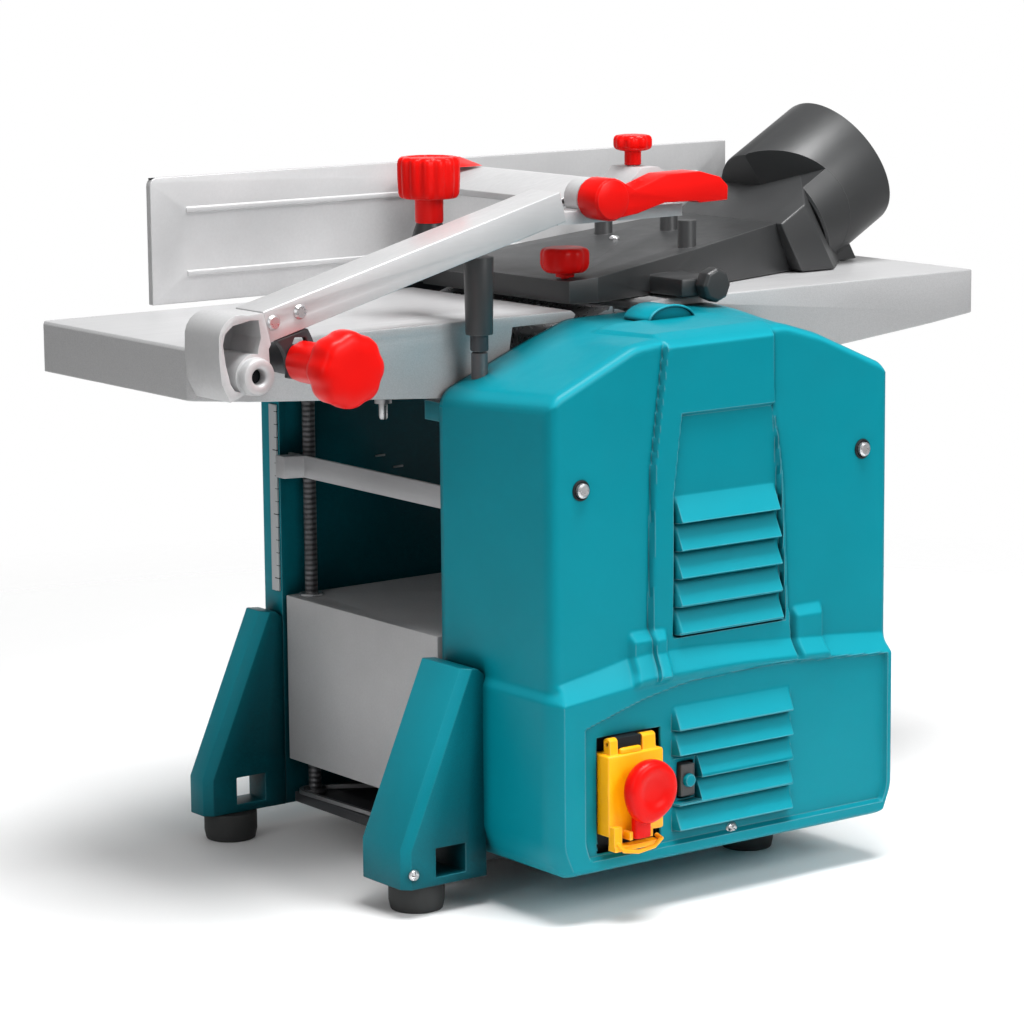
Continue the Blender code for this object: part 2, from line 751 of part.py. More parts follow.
def make_crank():
    """Removable crank: a dark tube over the spindle's end, with a crank arm and a turning grip."""
    hub_x, hub_y = SPINDLE
    pivot = (hub_x, hub_y, 0.409)
    tube = rod((hub_x, hub_y, 0.4090), (hub_x, hub_y, 0.4645), 0.0120, sides=28)
    crank = part("crank", tube, "black_plastic", pivot=pivot)
    arm = block((hub_x - 0.0085, hub_y, 0.4530), (hub_x + 0.0085, hub_y + CRANK_ARM, 0.4640))
    grip_y = hub_y + CRANK_ARM
    seat = rod((hub_x, grip_y, 0.4532), (hub_x, grip_y, 0.4638), 0.0100, sides=24)
    add(crank, arm, seat)
    add(crank, rod((hub_x, grip_y, 0.4600), (hub_x, grip_y, 0.4990), 0.0045, sides=16))
    profile = [
        (0, 0.5330),
        (0.0240, 0.5330),
        (0.0270, 0.5290),
        (0.0270, 0.5085),
        (0.0245, 0.5045),
        (0.0110, 0.5040),
        (0.0105, 0.4860),
        (0.0145, 0.4660),
        (0.0052, 0.4660),
        (0.0052, 0.5000),
        (0, 0.5000),
    ]
    grip = part("crank_grip", turned(profile, (hub_x, grip_y, 0), (0, 0, 1), steps=36), "red_plastic",
                pivot=(hub_x, grip_y, 0.466))
    flutes = []
    for turn in range(9):
        angle = math.radians(40 * turn)
        x = hub_x + 0.0305 * math.cos(angle)
        y = grip_y + 0.0305 * math.sin(angle)
        flutes.append(rod((x, y, 0.502), (x, y, 0.540), 0.0055, sides=12))
    cut(grip, together(flutes))


def make_chip_guard_bar():
    outline = [
        (-0.1695, 0.1000),
        (-0.1695, 0.0880),
        (-0.1545, 0.0830),
        (-0.1545, -0.1050),
        (-0.1520, -0.1050),
        (-0.1520, 0.1050),
        (-0.1545, 0.1050),
        (-0.1545, 0.0950),
    ]
    part("chip_guard_bar", plate([outline], "Z", 0.2810, 0.2980), "bright_steel", smooth=False)


# Fence


def make_fence():
    left, right = -0.2715, 0.2815
    outline = [(left, FENCE_BOTTOM), (right, FENCE_BOTTOM), (right, FENCE_TOP)]
    outline += arc((left + 0.006, FENCE_TOP - 0.006), 0.006, 90, 180, 4)
    pivot = (0, FENCE_FACE, FENCE_BOTTOM)
    solid = plate([outline], "Y", FENCE_FACE, FENCE_FACE + 0.0060)
    fence = part("fence_plate", solid, "cast_aluminium", pivot=pivot)
    ribs = []
    for low, high in ((0.4400, 0.4440), (0.4875, 0.4915)):
        ribs.append(block((-0.241, FENCE_FACE - 0.0012, low), (right - 0.030, FENCE_FACE + 0.001, high)))
    add(fence, together(ribs))
    spine = block((left + 0.010, FENCE_FACE + 0.0050, FENCE_TOP - 0.012),
                  (right - 0.004, FENCE_FACE + 0.0150, FENCE_TOP - 0.002))
    add(fence, spine)
    bracket = block((-0.060, 0.1375, 0.4205), (0.060, 0.1590, 0.4285))
    holder = part("fence_bracket", bracket, "dark_paint")
    add(holder, block((-0.045, 0.1420, 0.4040), (0.045, 0.1590, 0.425)))
    add(holder, block((-0.045, 0.1302, 0.4093), (0.045, 0.1500, 0.4195)))
    stem = [(0, 0.021), (0.0030, 0.021), (0.0030, 0.003), (0.0130, 0.002), (0.0170, -0.002)]
    stem += [(0.0170, -0.012), (0.0150, -0.014), (0, -0.014)]
    start = (0.020, 0.1625, 0.410)
    cut(holder, rod((0.020, 0.120, 0.410), (0.020, 0.17, 0.410), 0.0034, sides=16))
    knob = turned(stem, start, (0, -1, 0), steps=20)
    part("fence_lock_knob", knob, "black_plastic", pivot=start)


# Cutter guard and its arm


def along_arm(distance, rise, y):
    """A point on the guard tube: distance along its slope from the datum, rise square to that line."""
    x = ARM_DATUM_X + distance * math.cos(ARM_SLOPE) - rise * math.sin(ARM_SLOPE)
    z = ARM_DATUM_Z + distance * math.sin(ARM_SLOPE) + rise * math.cos(ARM_SLOPE)
    return (x, y, z)


def arm_plate(corners, near, far):
    points = [(along_arm(d, r, 0)[0], along_arm(d, r, 0)[2]) for d, r in corners]
    return plate([points], "Y", near, far)


def make_guard_arm():
    pivot = (BOSS_X, -0.1270, BOSS_Z)
    knuckle_outline = arc((BOSS_X, BOSS_Z), 0.0135, -120, 20, 8)
    knuckle_outline += [(-0.3335, 0.4180), (-0.3310, 0.4225), (-0.3310, 0.4430)]
    knuckle_outline += arc((-0.3560, 0.4260), 0.0172, 70, 170, 6)
    knuckle_outline += [(-0.3733, 0.4150), (-0.3715, 0.3969), (-0.3650, 0.3842)]
    solid = plate([knuckle_outline], "Y", -0.1490, -0.1050)
    knuckle = part("guard_arm_knuckle", solid, "cast_aluminium", pivot=pivot)
    add(knuckle, rod((BOSS_X, -0.1530, BOSS_Z), (BOSS_X, -0.1480, BOSS_Z), 0.0130))
    cut(knuckle, rod((BOSS_X, -0.17, BOSS_Z), (BOSS_X, -0.09, BOSS_Z), 0.0056))
    pocket = [(-0.3701, 0.4240), (-0.3678, 0.4315), (-0.3617, 0.4361), (-0.3477, 0.4387), (-0.3412, 0.4384)]
    pocket += [(-0.3396, 0.4261), (-0.3418, 0.4188)]
    pocket += arc((BOSS_X, BOSS_Z), 0.0150, 78, 222, 8)
    pocket += [(-0.3612, 0.3915), (-0.3645, 0.3963), (-0.3680, 0.4095)]
    cut(knuckle, plate([pocket], "Y", -0.16, -0.1130))
    head = 0.1500
    profile = [(0, 0.0530), (0.0053, 0.0530), (0.0053, 0.0045), (0.0085, 0.0040), (0.0085, 0.0005)]
    profile += [(0.0042, 0.0005), (0.0036, 0.0015), (0.0036, 0.0070), (0, 0.0070)]
    pin = turned(profile, (BOSS_X, -head - 0.0080, BOSS_Z), (0, 1, 0), steps=20)
    part("guard_pivot_pin", pin, "bright_steel", pivot=(BOSS_X, -head, BOSS_Z))
    cut(
        bpy.data.objects["infeed_table"],
        rod((BOSS_X, -0.12, BOSS_Z), (BOSS_X, -0.0965, BOSS_Z), 0.0056, sides=20),
        rod((-0.3060, -0.12, 0.4070), (-0.3060, -0.0965, 0.4070), 0.0034, sides=16),
    )
    tube = arm_plate([(0.0095, 0.0215), (0.2720, 0.0215), (0.2720, 0.0435), (0.0095, 0.0435)], ARM_NEAR, ARM_FAR)
    tube_part = part("guard_arm_tube", tube, "cast_aluminium", pivot=pivot)
    inside = arm_plate([(0.0000, 0.0235), (0.3000, 0.0235), (0.3000, 0.0415), (0.0000, 0.0415)],
                       ARM_NEAR + 0.002, ARM_FAR - 0.002)
    cut(tube_part, inside)
    cut(knuckle, arm_plate([(0.0088, 0.0208), (0.0700, 0.0208), (0.0700, 0.0700), (0.0088, 0.0700)], -0.17, -0.10))
    tongue = arm_plate([(0.0065, 0.0240), (0.0480, 0.0240), (0.0480, 0.0410), (0.0065, 0.0410)],
                       ARM_NEAR + 0.0024, ARM_FAR - 0.0024)
    add(knuckle, tongue)
    holes = []
    for name, distance in (("arm_rivet_lower", LOWER_RIVET), ("arm_rivet_upper", UPPER_RIVET)):
        near = along_arm(distance, RIVET_RISE, ARM_NEAR - 0.0022)
        far = along_arm(distance, RIVET_RISE, -0.1300)
        centre = along_arm(distance, RIVET_RISE, 0)
        profile = [(0, 0.0175), (0.0025, 0.0175), (0.0025, 0.0022), (0.0052, 0.0018), (0.0040, 0.0), (0, 0.0)]
        part(name, turned(profile, near, (0, 1, 0), steps=16), "bright_steel", pivot=near)
        start = (centre[0], near[1] - 0.01, centre[2])
        holes.append(rod(start, (far[0], -0.1280, far[2]), 0.0028, sides=16))
    cut(tube_part, together(holes))
    holes = []
    for distance in (LOWER_RIVET, UPPER_RIVET):
        x, _, z = along_arm(distance, RIVET_RISE, 0)
        holes.append(rod((x, -0.16, z), (x, -0.1280, z), 0.0028, sides=16))
    cut(knuckle, together(holes))
    slot_lug()


def slot_lug():
    """The knuckle's slotted sector, in which the star knob's bolt clamps the arm."""
    centre = (BOSS_X, BOSS_Z)
    outer = arc(centre, 0.0545, -24, 48, 14)
    inner = arc(centre, 0.0300, 48, -24, 10)
    slot = arc(centre, 0.0496, -17, 32, 12) + arc(centre, 0.0356, 32, -17, 12)
    sector = plate([outer + inner, slot], "Y", -0.1455, -0.1400)
    lug = part("arm_slot_lug", sector, "dark_paint", pivot=(BOSS_X, -0.1430, BOSS_Z))
    cut(lug, arm_plate([(-0.0200, 0.0210), (0.0800, 0.0210), (0.0800, 0.0600), (-0.0200, 0.0600)], -0.15, -0.13))


def star_points(centre, radius, dip, lobes):
    points = []
    for step in range(lobes * 6):
        angle = 2 * math.pi * step / (lobes * 6)
        reach = radius - dip * (0.5 - 0.5 * math.cos(lobes * angle))
        points.append((centre[0] + reach * math.cos(angle), centre[1] + reach * math.sin(angle)))
    return points


def make_arm_lock_knob():
    x, z = -0.3060, 0.4070
    pivot = (x, -0.190, z)
    head = plate([star_points((x, z), 0.0270, 0.0035, 7)], "Y", -0.2130, -0.1870)
    knob = part("arm_lock_knob", head, "red_plastic", pivot=pivot)
    add(knob, rod((x, -0.1880, z), (x, -0.1458, z), 0.0140, sides=24))
    add(knob, rod((x, -0.1480, z), (x, -0.0972, z), 0.0031, sides=16))
    add(knob, rod((x, -0.1397, z), (x, -0.1082, z), 0.0105, sides=20))


def make_guard_bar():
    """Crowned aluminium guard over the cutter, with its carrier on the arm's end."""
    pivot = (-0.030, -0.100, 0.500)
    crown = [(-0.0550, 0.4950), (-0.0050, 0.4950), (-0.0050, 0.5120), (-0.0120, 0.5112)]
    crown += [(-0.0250, 0.5090), (-0.0400, 0.5050), (-0.0550, 0.5000)]
    inner = [(-0.0530, 0.4969), (-0.0070, 0.4969), (-0.0070, 0.5098), (-0.0250, 0.5068), (-0.0530, 0.4988)]
    bar = plate([crown, inner], "Y", -0.1100, 0.0860)
    part("guard_bar", bar, "cast_aluminium", pivot=pivot)
    cap = part("guard_bar_end_cap", plate([crown], "Y", 0.0863, 0.0930), "red_plastic", pivot=pivot)
    fin = [(0.0500, 0.5128), (0.0866, 0.5128), (0.0866, 0.5040), (0.0925, 0.5040), (0.0925, 0.5175), (0.0800, 0.5180)]
    add(cap, plate([fin], "X", -0.0280, -0.0070))


def make_guard_carrier():
    """The casting on the arm's upper end: a foot against the tube, and an arch with the clamp's nut."""
    tube_end = along_arm(0.2723, 0.0325, 0)
    foot = block((-0.0735, -0.1320, 0.4840), (0.0420, -0.1120, 0.4930))
    carrier = part("guard_carrier", foot, "bright_steel", pivot=(tube_end[0], -0.127, tube_end[2]))
    upright = block((-0.0020, -0.1200, 0.4860), (0.0450, -0.0850, 0.5050))
    add(carrier, upright)
    roof = plate([[(-0.0020, 0.5000), (0.0450, 0.5000), (0.0360, 0.5160), (0.0290, 0.5200),
                   (0.0130, 0.5200), (0.0040, 0.5120)]], "Y", -0.1200, -0.0850)
    add(carrier, roof)
    cut(carrier, block((0.0040, -0.1100, 0.4900), (0.0390, -0.0800, 0.5060)))
    cut(carrier, rod((0.0210, -0.1000, 0.50), (0.0210, -0.1000, 0.54), 0.0034, sides=16))
    knob = [(0, 0.5430), (0.0120, 0.5430), (0.0145, 0.5405), (0.0145, 0.5335), (0.0120, 0.5315)]
    knob += [(0.0060, 0.5310), (0.0060, 0.5205), (0.0030, 0.5205), (0.0030, 0.5080), (0, 0.5080)]
    solid = turned(knob, (0.0210, -0.1000, 0), (0, 0, 1), steps=28)
    part("guard_clamp_knob", solid, "red_plastic", pivot=(0.0210, -0.1000, 0.5205))


def make_guard_lever():
    """Cam lever that clamps the guard at its height."""
    hub = (-0.0410, 0.5020)
    outline = arc(hub, 0.0155, 60, 300, 12)
    outline += [(-0.0180, 0.4905), (0.0080, 0.4970), (0.0370, 0.4965), (0.0410, 0.4950)]
    outline += [(0.0670, 0.4955), (0.0675, 0.5060), (0.0600, 0.5130), (0.0410, 0.5180)]
    outline += [(0.0095, 0.5175), (-0.0200, 0.5080)]
    lever = part("guard_lever", plate([outline], "Y", -0.1545, -0.1325), "red_plastic", pivot=(hub[0], -0.1325, hub[1]))
    cut(lever, rod((hub[0], -0.17, hub[1]), (hub[0], -0.12, hub[1]), 0.0048, sides=20))
    carrier = bpy.data.objects["guard_carrier"]
    add(carrier, block((-0.0560, -0.1320, 0.4880), (-0.0260, -0.1120, 0.4942)))
    add(carrier, rod((hub[0], -0.1300, hub[1]), (hub[0], -0.1150, hub[1]), 0.0140, sides=24))
    add(carrier, rod((hub[0], -0.1545, hub[1]), (hub[0], -0.1250, hub[1]), 0.0045, sides=20))


# Dust hood


def port_frame():
    """Origin on the port's axis at its root, and the axis itself."""
    axis = Vector((math.cos(PORT_TILT), 0, math.sin(PORT_TILT)))
    return Vector((0.284, 0.0400, 0.4610)), axis


def hood_outline(shrink):
    return [
        (-0.0300 + shrink, 0.0990 - shrink),
        (-0.0300 + shrink, -0.0800),
        (-0.0280 + shrink, -0.0860 + shrink),
        (-0.0060, -0.0920 + shrink),
        (0.1150, -0.0620 + shrink),
        (0.2480 - shrink, -0.0190 + shrink),
        (0.2200 - shrink, 0.0990 - shrink),
    ]


def hood_solid(shrink, base, low_top, high_top):
    """A wedge over the hood's plan, whose roof rises towards the chute."""
    solid = plate([hood_outline(shrink)], "Z", base, high_top + 0.02)
    slope = (high_top - low_top) / (0.210 + 0.030)
    for vert in solid.verts:
        if vert.co.z > base + 0.005:
            vert.co.z = low_top + slope * (vert.co.x + 0.030)
    return solid


def make_dust_hood():
    base = OUTFEED_TOP + 0.0010
    hood = part("dust_hood", hood_solid(0.0, base, 0.4360, 0.4580), "black_plastic", smooth=False)
    hollow = hood_solid(0.0030, base - 0.01, 0.4330, 0.4550)
    cut(hood, hollow)
    bosses = []
    for x, y, low, high in ((0.126, 0.070, 0.447, 0.4650), (0.162, 0.032, 0.450, 0.4680), (0.116, -0.047, 0.446, 0.4700)):
        bosses.append(rod((x, y, low), (x, y, high), 0.0072, sides=20))
    add(hood, together(bosses))
    latch = block((0.0550, -0.1160, 0.4205), (0.0920, -0.0700, 0.4345), round_edges=0.002)
    add(hood, latch)
    cut(hood, block((0.0580, -0.0760, 0.4100), (0.0890, -0.0600, 0.4310)))
    cut(hood, rod((-0.0200, -0.0700, 0.40), (-0.0200, -0.0700, 0.46), 0.0034, sides=16))
    cut(hood, rod((0.0800, -0.13, 0.4290), (0.0800, -0.0900, 0.4290), 0.0034, sides=16))
    cut(hood, duct_opening())
    profile = [(0, 0.4600), (0.0150, 0.4600), (0.0185, 0.4565), (0.0185, 0.4470), (0.0150, 0.4415)]
    profile += [(0.0070, 0.4410), (0.0070, 0.4380), (0.0031, 0.4380), (0.0031, 0.4240), (0, 0.4240)]
    pivot = (-0.0200, -0.0700, 0.4375)
    part("hood_knob", turned(profile, (-0.0200, -0.0700, 0), (0, 0, 1), steps=28), "red_plastic", pivot=pivot)
    profile = [(0, 0.0300), (0.0031, 0.0300), (0.0031, 0.0120), (0.0132, 0.0115), (0.0132, 0.0020), (0.0110, 0.0), (0, 0.0)]
    start = (0.0800, -0.1283, 0.4290)
    part("hood_latch_knob", turned(profile, start, (0, 1, 0), steps=8), "black_plastic", pivot=start)


def chute_hull(inset, drop, reach):
    """The chute's body: a hull from its foot beside the tray to the port's root ring."""
    origin, axis = port_frame()
    side = Vector((0, 1, 0))
    up = side.cross(axis) * -1
    low = OUTFEED_TOP + 0.0010 - drop
    points = [
        (0.2210 + inset, 0.0990 - inset, low),
        (0.2490 + inset, -0.0190 + inset, low),
        (0.2490 + inset, -0.0190 + inset, 0.4590 - inset),
        (0.2210 + inset, 0.0990 - inset, 0.4605 - inset),
    ]
    radius = PORT_RADIUS - 0.0012 - inset
    for across, rise in circle((0, 0), radius, 24):
        points.append(origin + axis * reach + side * across + up * rise)
    solid = bmesh.new()
    for point in points:
        solid.verts.new(point)
    bmesh.ops.convex_hull(solid, input=solid.verts)
    loose = [vert for vert in solid.verts if not vert.link_faces]
    bmesh.ops.delete(solid, geom=loose, context="VERTS")
    bmesh.ops.recalc_face_normals(solid, faces=solid.faces)
    return solid


def duct_opening():
    """The way from the tray into the chute, across their joint."""
    corners = [(0.2330, -0.0080), (0.2620, -0.0080), (0.2380, 0.0880), (0.2090, 0.0880)]
    return plate([corners], "Z", 0.4100, 0.4480)


def make_dust_chute():
    """The hood's rising chute and its round hose port, set on the tray with a thin joint line."""
    origin, axis = port_frame()
    chute = part("dust_chute", chute_hull(0, 0, 0), "black_plastic")
    add(chute, rod(origin - axis * 0.004, origin + axis * 0.072, PORT_RADIUS, sides=40))
    cut(chute, chute_hull(0.0030, 0.02, 0.001))
    cut(chute, rod(origin - axis * 0.002, origin + axis * 0.080, PORT_RADIUS - 0.0035, sides=40))
    cut(chute, block((0.10, -0.10, 0.35), (0.50, 0.20, OUTFEED_TOP + 0.0010)))
    cut(chute, duct_opening())


# Switch and fasteners


def make_switch():
    """A dark switch box behind the cover, a yellow lid hinged at its top, and the red stop paddle on the lid."""
    hinge = (-0.1033, -0.2490, 0.1295)
    paddle_pin = (-0.1033, -0.2620, 0.0645)
    base = part("switch_housing", block((-0.1303, -0.2350, 0.0455), (-0.0673, -0.2050, 0.1365)), "black_plastic")
    add(base, block((-0.1151, -0.2520, 0.1255), (-0.0940, -0.2340, 0.1335)))
    add(base, rod((-0.1213, hinge[1], hinge[2]), (-0.0848, hinge[1], hinge[2]), 0.0015, sides=12))
    lid_box = block((-0.1263, -0.2560, 0.0633), (-0.0763, -0.2353, 0.1223), round_edges=0.002)
    lid = part("switch_lid", lid_box, "yellow_plastic", pivot=hinge)
    cut(lid, block((-0.1238, -0.2535, 0.0658), (-0.0788, -0.2300, 0.1198)))
    ear = [(-0.2535, 0.1205), (-0.2460, 0.1205), (-0.2460, 0.1310)]
    ear += arc((-0.2495, 0.1300), 0.0040, 30, 150, 6)
    ears = [plate([ear], "X", -0.1228, -0.1158), plate([ear], "X", -0.0933, -0.0818)]
    add(lid, together(ears))
    cut(lid, rod((-0.13, hinge[1], hinge[2]), (-0.07, hinge[1], hinge[2]), 0.0018, sides=12))
    lugs = [block((x, -0.2640, 0.0615), (x + 0.0028, -0.2550, 0.0675)) for x in (-0.1137, -0.0957)]
    add(lid, block((-0.1253, -0.2610, 0.0565), (-0.1183, -0.2545, 0.0715)))
    add(lid, block((-0.1253, -0.2620, 0.0540), (-0.0853, -0.2540, 0.0575)))
    add(lid, together(lugs))
    add(lid, rod((-0.1123, paddle_pin[1], paddle_pin[2]), (-0.0943, paddle_pin[1], paddle_pin[2]), 0.0010, sides=12))
    outline = arc((-0.0993, 0.0975), 0.0215, -40, 205, 24) + [(-0.1123, 0.0775), (-0.0963, 0.0755)]
    paddle = part("stop_paddle", plate([outline], "Y", -0.2740, -0.2645), "red_plastic", pivot=paddle_pin)
    crown = [(0, 0.0020), (0.0120, 0.0018), (0.0195, 0.0), (0, -0.003)]
    add(paddle, turned(crown, (-0.0993, -0.2740, 0.0975), (0, -1, 0)))
    add(paddle, rod((-0.0993, -0.2700, 0.0975), (-0.0993, -0.2588, 0.0975), 0.0090, sides=20))
    add(paddle, block((-0.1103, -0.2660, 0.0617), (-0.0963, -0.2600, 0.0815)))
    cut(paddle, rod((-0.1143, paddle_pin[1], paddle_pin[2]), (-0.0913, paddle_pin[1], paddle_pin[2]), 0.0013, sides=12))
    low = (-0.0540, -0.2480, 0.0800)
    high = (-0.0410, -0.2300, 0.1040)
    part("reset_button", block(low, high, round_edges=0.0015), "black_plastic")


def make_cover_screws():
    profile = [(0, 0.0160), (0.0020, 0.0160), (0.0020, 0.0040), (0.0052, 0.0040), (0.0052, 0.0012), (0.0038, 0.0), (0, 0.0)]
    for name, x, z in (("cover_screw_left", -0.136, 0.311), ("cover_screw_right", 0.126, 0.314)):
        start = (x, COVER_FRONT - 0.0044, z)
        part(name, turned(profile, start, (0, 1, 0), steps=16), "bright_steel", pivot=start)


make_base_pan()
make_front_side_wall()
make_rear_side_wall()
make_front_cover()
make_rear_cover()
make_legs()
make_feet()
make_tables()
make_thickness_scale()
make_cutter()
make_bearings()
make_feed_rollers()
make_drive()
make_feed_drive()
make_thickness_table()
make_lift()
make_crank()
make_chip_guard_bar()
make_fence()
make_guard_arm()
make_arm_lock_knob()
make_guard_bar()
make_guard_carrier()
make_guard_lever()
make_dust_hood()
make_dust_chute()
make_switch()
make_cover_screws()
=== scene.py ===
"""Looks of the planer-thicknesser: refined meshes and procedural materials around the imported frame."""

import json
import math

import bmesh
import bpy
from mathutils import Matrix, Vector


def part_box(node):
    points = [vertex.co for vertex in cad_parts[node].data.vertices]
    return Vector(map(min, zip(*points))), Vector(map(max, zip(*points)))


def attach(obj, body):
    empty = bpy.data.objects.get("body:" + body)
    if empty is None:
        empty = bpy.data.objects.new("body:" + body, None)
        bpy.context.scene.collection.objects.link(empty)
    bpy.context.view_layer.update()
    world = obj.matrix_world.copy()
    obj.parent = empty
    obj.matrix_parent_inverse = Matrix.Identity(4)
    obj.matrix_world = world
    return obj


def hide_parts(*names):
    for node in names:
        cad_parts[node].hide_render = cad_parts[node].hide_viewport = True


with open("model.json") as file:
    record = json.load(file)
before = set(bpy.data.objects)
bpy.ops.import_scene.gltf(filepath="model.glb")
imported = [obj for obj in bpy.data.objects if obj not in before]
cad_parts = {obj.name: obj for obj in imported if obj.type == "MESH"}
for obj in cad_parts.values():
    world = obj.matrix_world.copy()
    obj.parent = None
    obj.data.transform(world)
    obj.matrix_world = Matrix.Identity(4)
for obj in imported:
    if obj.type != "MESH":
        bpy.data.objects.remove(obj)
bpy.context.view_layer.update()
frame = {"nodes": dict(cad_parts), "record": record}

# The design frame has the tables centred on X = Y = 0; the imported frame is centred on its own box
TABLE_HALF_LENGTH = 0.3685
TABLE_HALF_WIDTH = 0.1014
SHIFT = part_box("infeed_table")[0] + Vector((TABLE_HALF_LENGTH, TABLE_HALF_WIDTH, 0))
SHIFT.z = 0

UP, DOWN, FRONT, BACK = (0, 0, 1), (0, 0, -1), (0, -1, 0), (0, 1, 0)

# ---------------------------------------------------------------- materials

TEAL = (0.0001, 0.215, 0.272)
RED = (0.7, 0.003, 0.0015)
YELLOW = (0.98, 0.42, 0.001)
DARK_GREY = (0.03, 0.031, 0.032)
# Colour that painted shade darkens towards
DEEP_SHADE = (0.0, 0.004, 0.006)


class Nodes:
    """A small helper that adds nodes to one material and links them."""

    def __init__(self, name):
        self.material = bpy.data.materials.new(name)
        self.material.use_nodes = True
        self.tree = self.material.node_tree
        self.shader = self.tree.nodes["Principled BSDF"]
        self.place = self.add("ShaderNodeTexCoord").outputs["Object"]

    def add(self, kind, **settings):
        node = self.tree.nodes.new(kind)
        for key, value in settings.items():
            setattr(node, key, value)
        return node

    def link(self, source, target):
        self.tree.links.new(source, target)

    def noise(self, scale, stretch=(1, 1, 1), detail=4.0, roughness=0.55):
        mapping = self.add("ShaderNodeMapping")
        mapping.inputs["Scale"].default_value = stretch
        self.link(self.place, mapping.inputs["Vector"])
        node = self.add("ShaderNodeTexNoise")
        node.inputs["Scale"].default_value = scale
        node.inputs["Detail"].default_value = detail
        node.inputs["Roughness"].default_value = roughness
        self.link(mapping.outputs["Vector"], node.inputs["Vector"])
        return node.outputs["Fac"]

    def remap(self, source, low, high, to_low, to_high):
        node = self.add("ShaderNodeMapRange")
        node.inputs["From Min"].default_value = low
        node.inputs["From Max"].default_value = high
        node.inputs["To Min"].default_value = to_low
        node.inputs["To Max"].default_value = to_high
        self.link(source, node.inputs["Value"])
        return node.outputs["Result"]

    def mix(self, factor, first, second):
        node = self.add("ShaderNodeMix", data_type="RGBA")
        for socket, value in (("A", first), ("B", second)):
            target = [s for s in node.inputs if s.name == socket and s.type == "RGBA"][0]
            if isinstance(value, tuple):
                target.default_value = (*value, 1)
            else:
                self.link(value, target)
        self.link(factor, [s for s in node.inputs if s.name == "Factor" and s.type == "VALUE"][0])
        return [s for s in node.outputs if s.type == "RGBA"][0]

    def bump(self, sources):
        """Chained bumps, each a height, its strength and its depth in metres."""
        normal = None
        for height, strength, depth in sources:
            node = self.add("ShaderNodeBump")
            node.inputs["Strength"].default_value = strength
            node.inputs["Distance"].default_value = depth
            self.link(height, node.inputs["Height"])
            if normal is not None:
                self.link(normal, node.inputs["Normal"])
            normal = node.outputs["Normal"]
        self.link(normal, self.shader.inputs["Normal"])

    def edges(self, radius=0.0012):
        """1 on the rounded-over edges of a piece, 0 on its flats; the mask for painted edge highlights."""
        rounded = self.add("ShaderNodeBevel", samples=4)
        rounded.inputs["Radius"].default_value = radius
        flat = self.add("ShaderNodeNewGeometry")
        dot = self.add("ShaderNodeVectorMath", operation="DOT_PRODUCT")
        self.link(rounded.outputs["Normal"], dot.inputs[0])
        self.link(flat.outputs["Normal"], dot.inputs[1])
        return self.remap(dot.outputs["Value"], 0.9, 0.995, 1.0, 0.0)

    def coordinate(self, source, letter):
        """One coordinate of a vector."""
        split = self.add("ShaderNodeSeparateXYZ")
        self.link(source, split.inputs["Vector"])
        return split.outputs[letter]

    def calculate(self, operation, first, second):
        """A sum on two values, each a socket or a number."""
        node = self.add("ShaderNodeMath", operation=operation)
        for socket, value in zip(node.inputs, (first, second)):
            if isinstance(value, (int, float)):
                socket.default_value = value
            else:
                self.link(value, socket)
        return node.outputs[0]

    def facing_up(self):
        """How far a face looks upward, from -1 to 1."""
        return self.coordinate(self.add("ShaderNodeNewGeometry").outputs["Normal"], "Z")

    def mottled(self, source, colour, spread):
        """A colour that a noise makes a little darker and paler."""
        share = self.remap(source, 0.3, 0.7, 0, 1)
        return self.mix(share, scaled(colour, 1 - spread), scaled(colour, 1 + spread))

    def shade(self, colour, reach, floor):
        """Painted shade: darken a colour where nearby surfaces close it in, within a reach in metres."""
        node = self.add("ShaderNodeAmbientOcclusion", samples=6)
        node.inputs["Distance"].default_value = reach
        low, high = (0.25, 0.92) if reach < 0.05 else (0.28, 0.74)
        return self.mix(self.remap(node.outputs["AO"], low, high, 1 - floor, 0.0), colour, DEEP_SHADE)

    def upward(self, colour, paler, share):
        """Painted light: a colour that turns paler on faces that slope upward, less so on level ones."""
        rise = self.facing_up()
        sloped = self.remap(rise, 0.22, 0.45, 0, share)
        not_level = self.remap(rise, 0.6, 0.85, 1, 0.2)
        return self.mix(self.calculate("MULTIPLY", sloped, not_level), colour, paler)


def scaled(colour, factor):
    return tuple(min(1.0, channel * factor) for channel in colour)


def moulded(name, colour, roughness, grain=900, grain_depth=0.00006, spread=0.1, edge_highlight=0.25, specular=0.5,
            reach=0.0):
    """Moulded plastic or smooth paint: faint mottling, a fine surface grain and slightly paler edges, which
    are painted highlights.
    """
    nodes = Nodes(name)
    fine = nodes.noise(grain, detail=2)
    body = nodes.mottled(nodes.noise(9, detail=3), colour, spread)
    pale = tuple(channel + (1 - channel) * 0.35 for channel in colour)
    # Paler rounded edges: a painted highlight.
    tone = nodes.mix(nodes.remap(nodes.edges(), 0, 1, 0, edge_highlight), body, pale)
    # With a reach, painted shade darkens crevices and closed-in insides.
    if reach:
        # A lit copy of the colour, painted onto upward slopes as painted light.
        lit = tuple(min(1.0, channel * 1.7 + 0.012) for channel in colour)
        tone = nodes.shade(nodes.upward(tone, lit, 0.42), reach, 0.06)
    nodes.link(tone, nodes.shader.inputs["Base Color"])
    smear = nodes.noise(22, detail=5, roughness=0.65)
    gloss = nodes.remap(smear, 0.3, 0.7, roughness - 0.05, roughness + 0.07)
    nodes.link(gloss, nodes.shader.inputs["Roughness"])
    nodes.shader.inputs["Specular IOR Level"].default_value = specular
    nodes.bump([(fine, 0.35, grain_depth), (nodes.noise(60, detail=2), 0.15, 0.0003)])
    return nodes.material


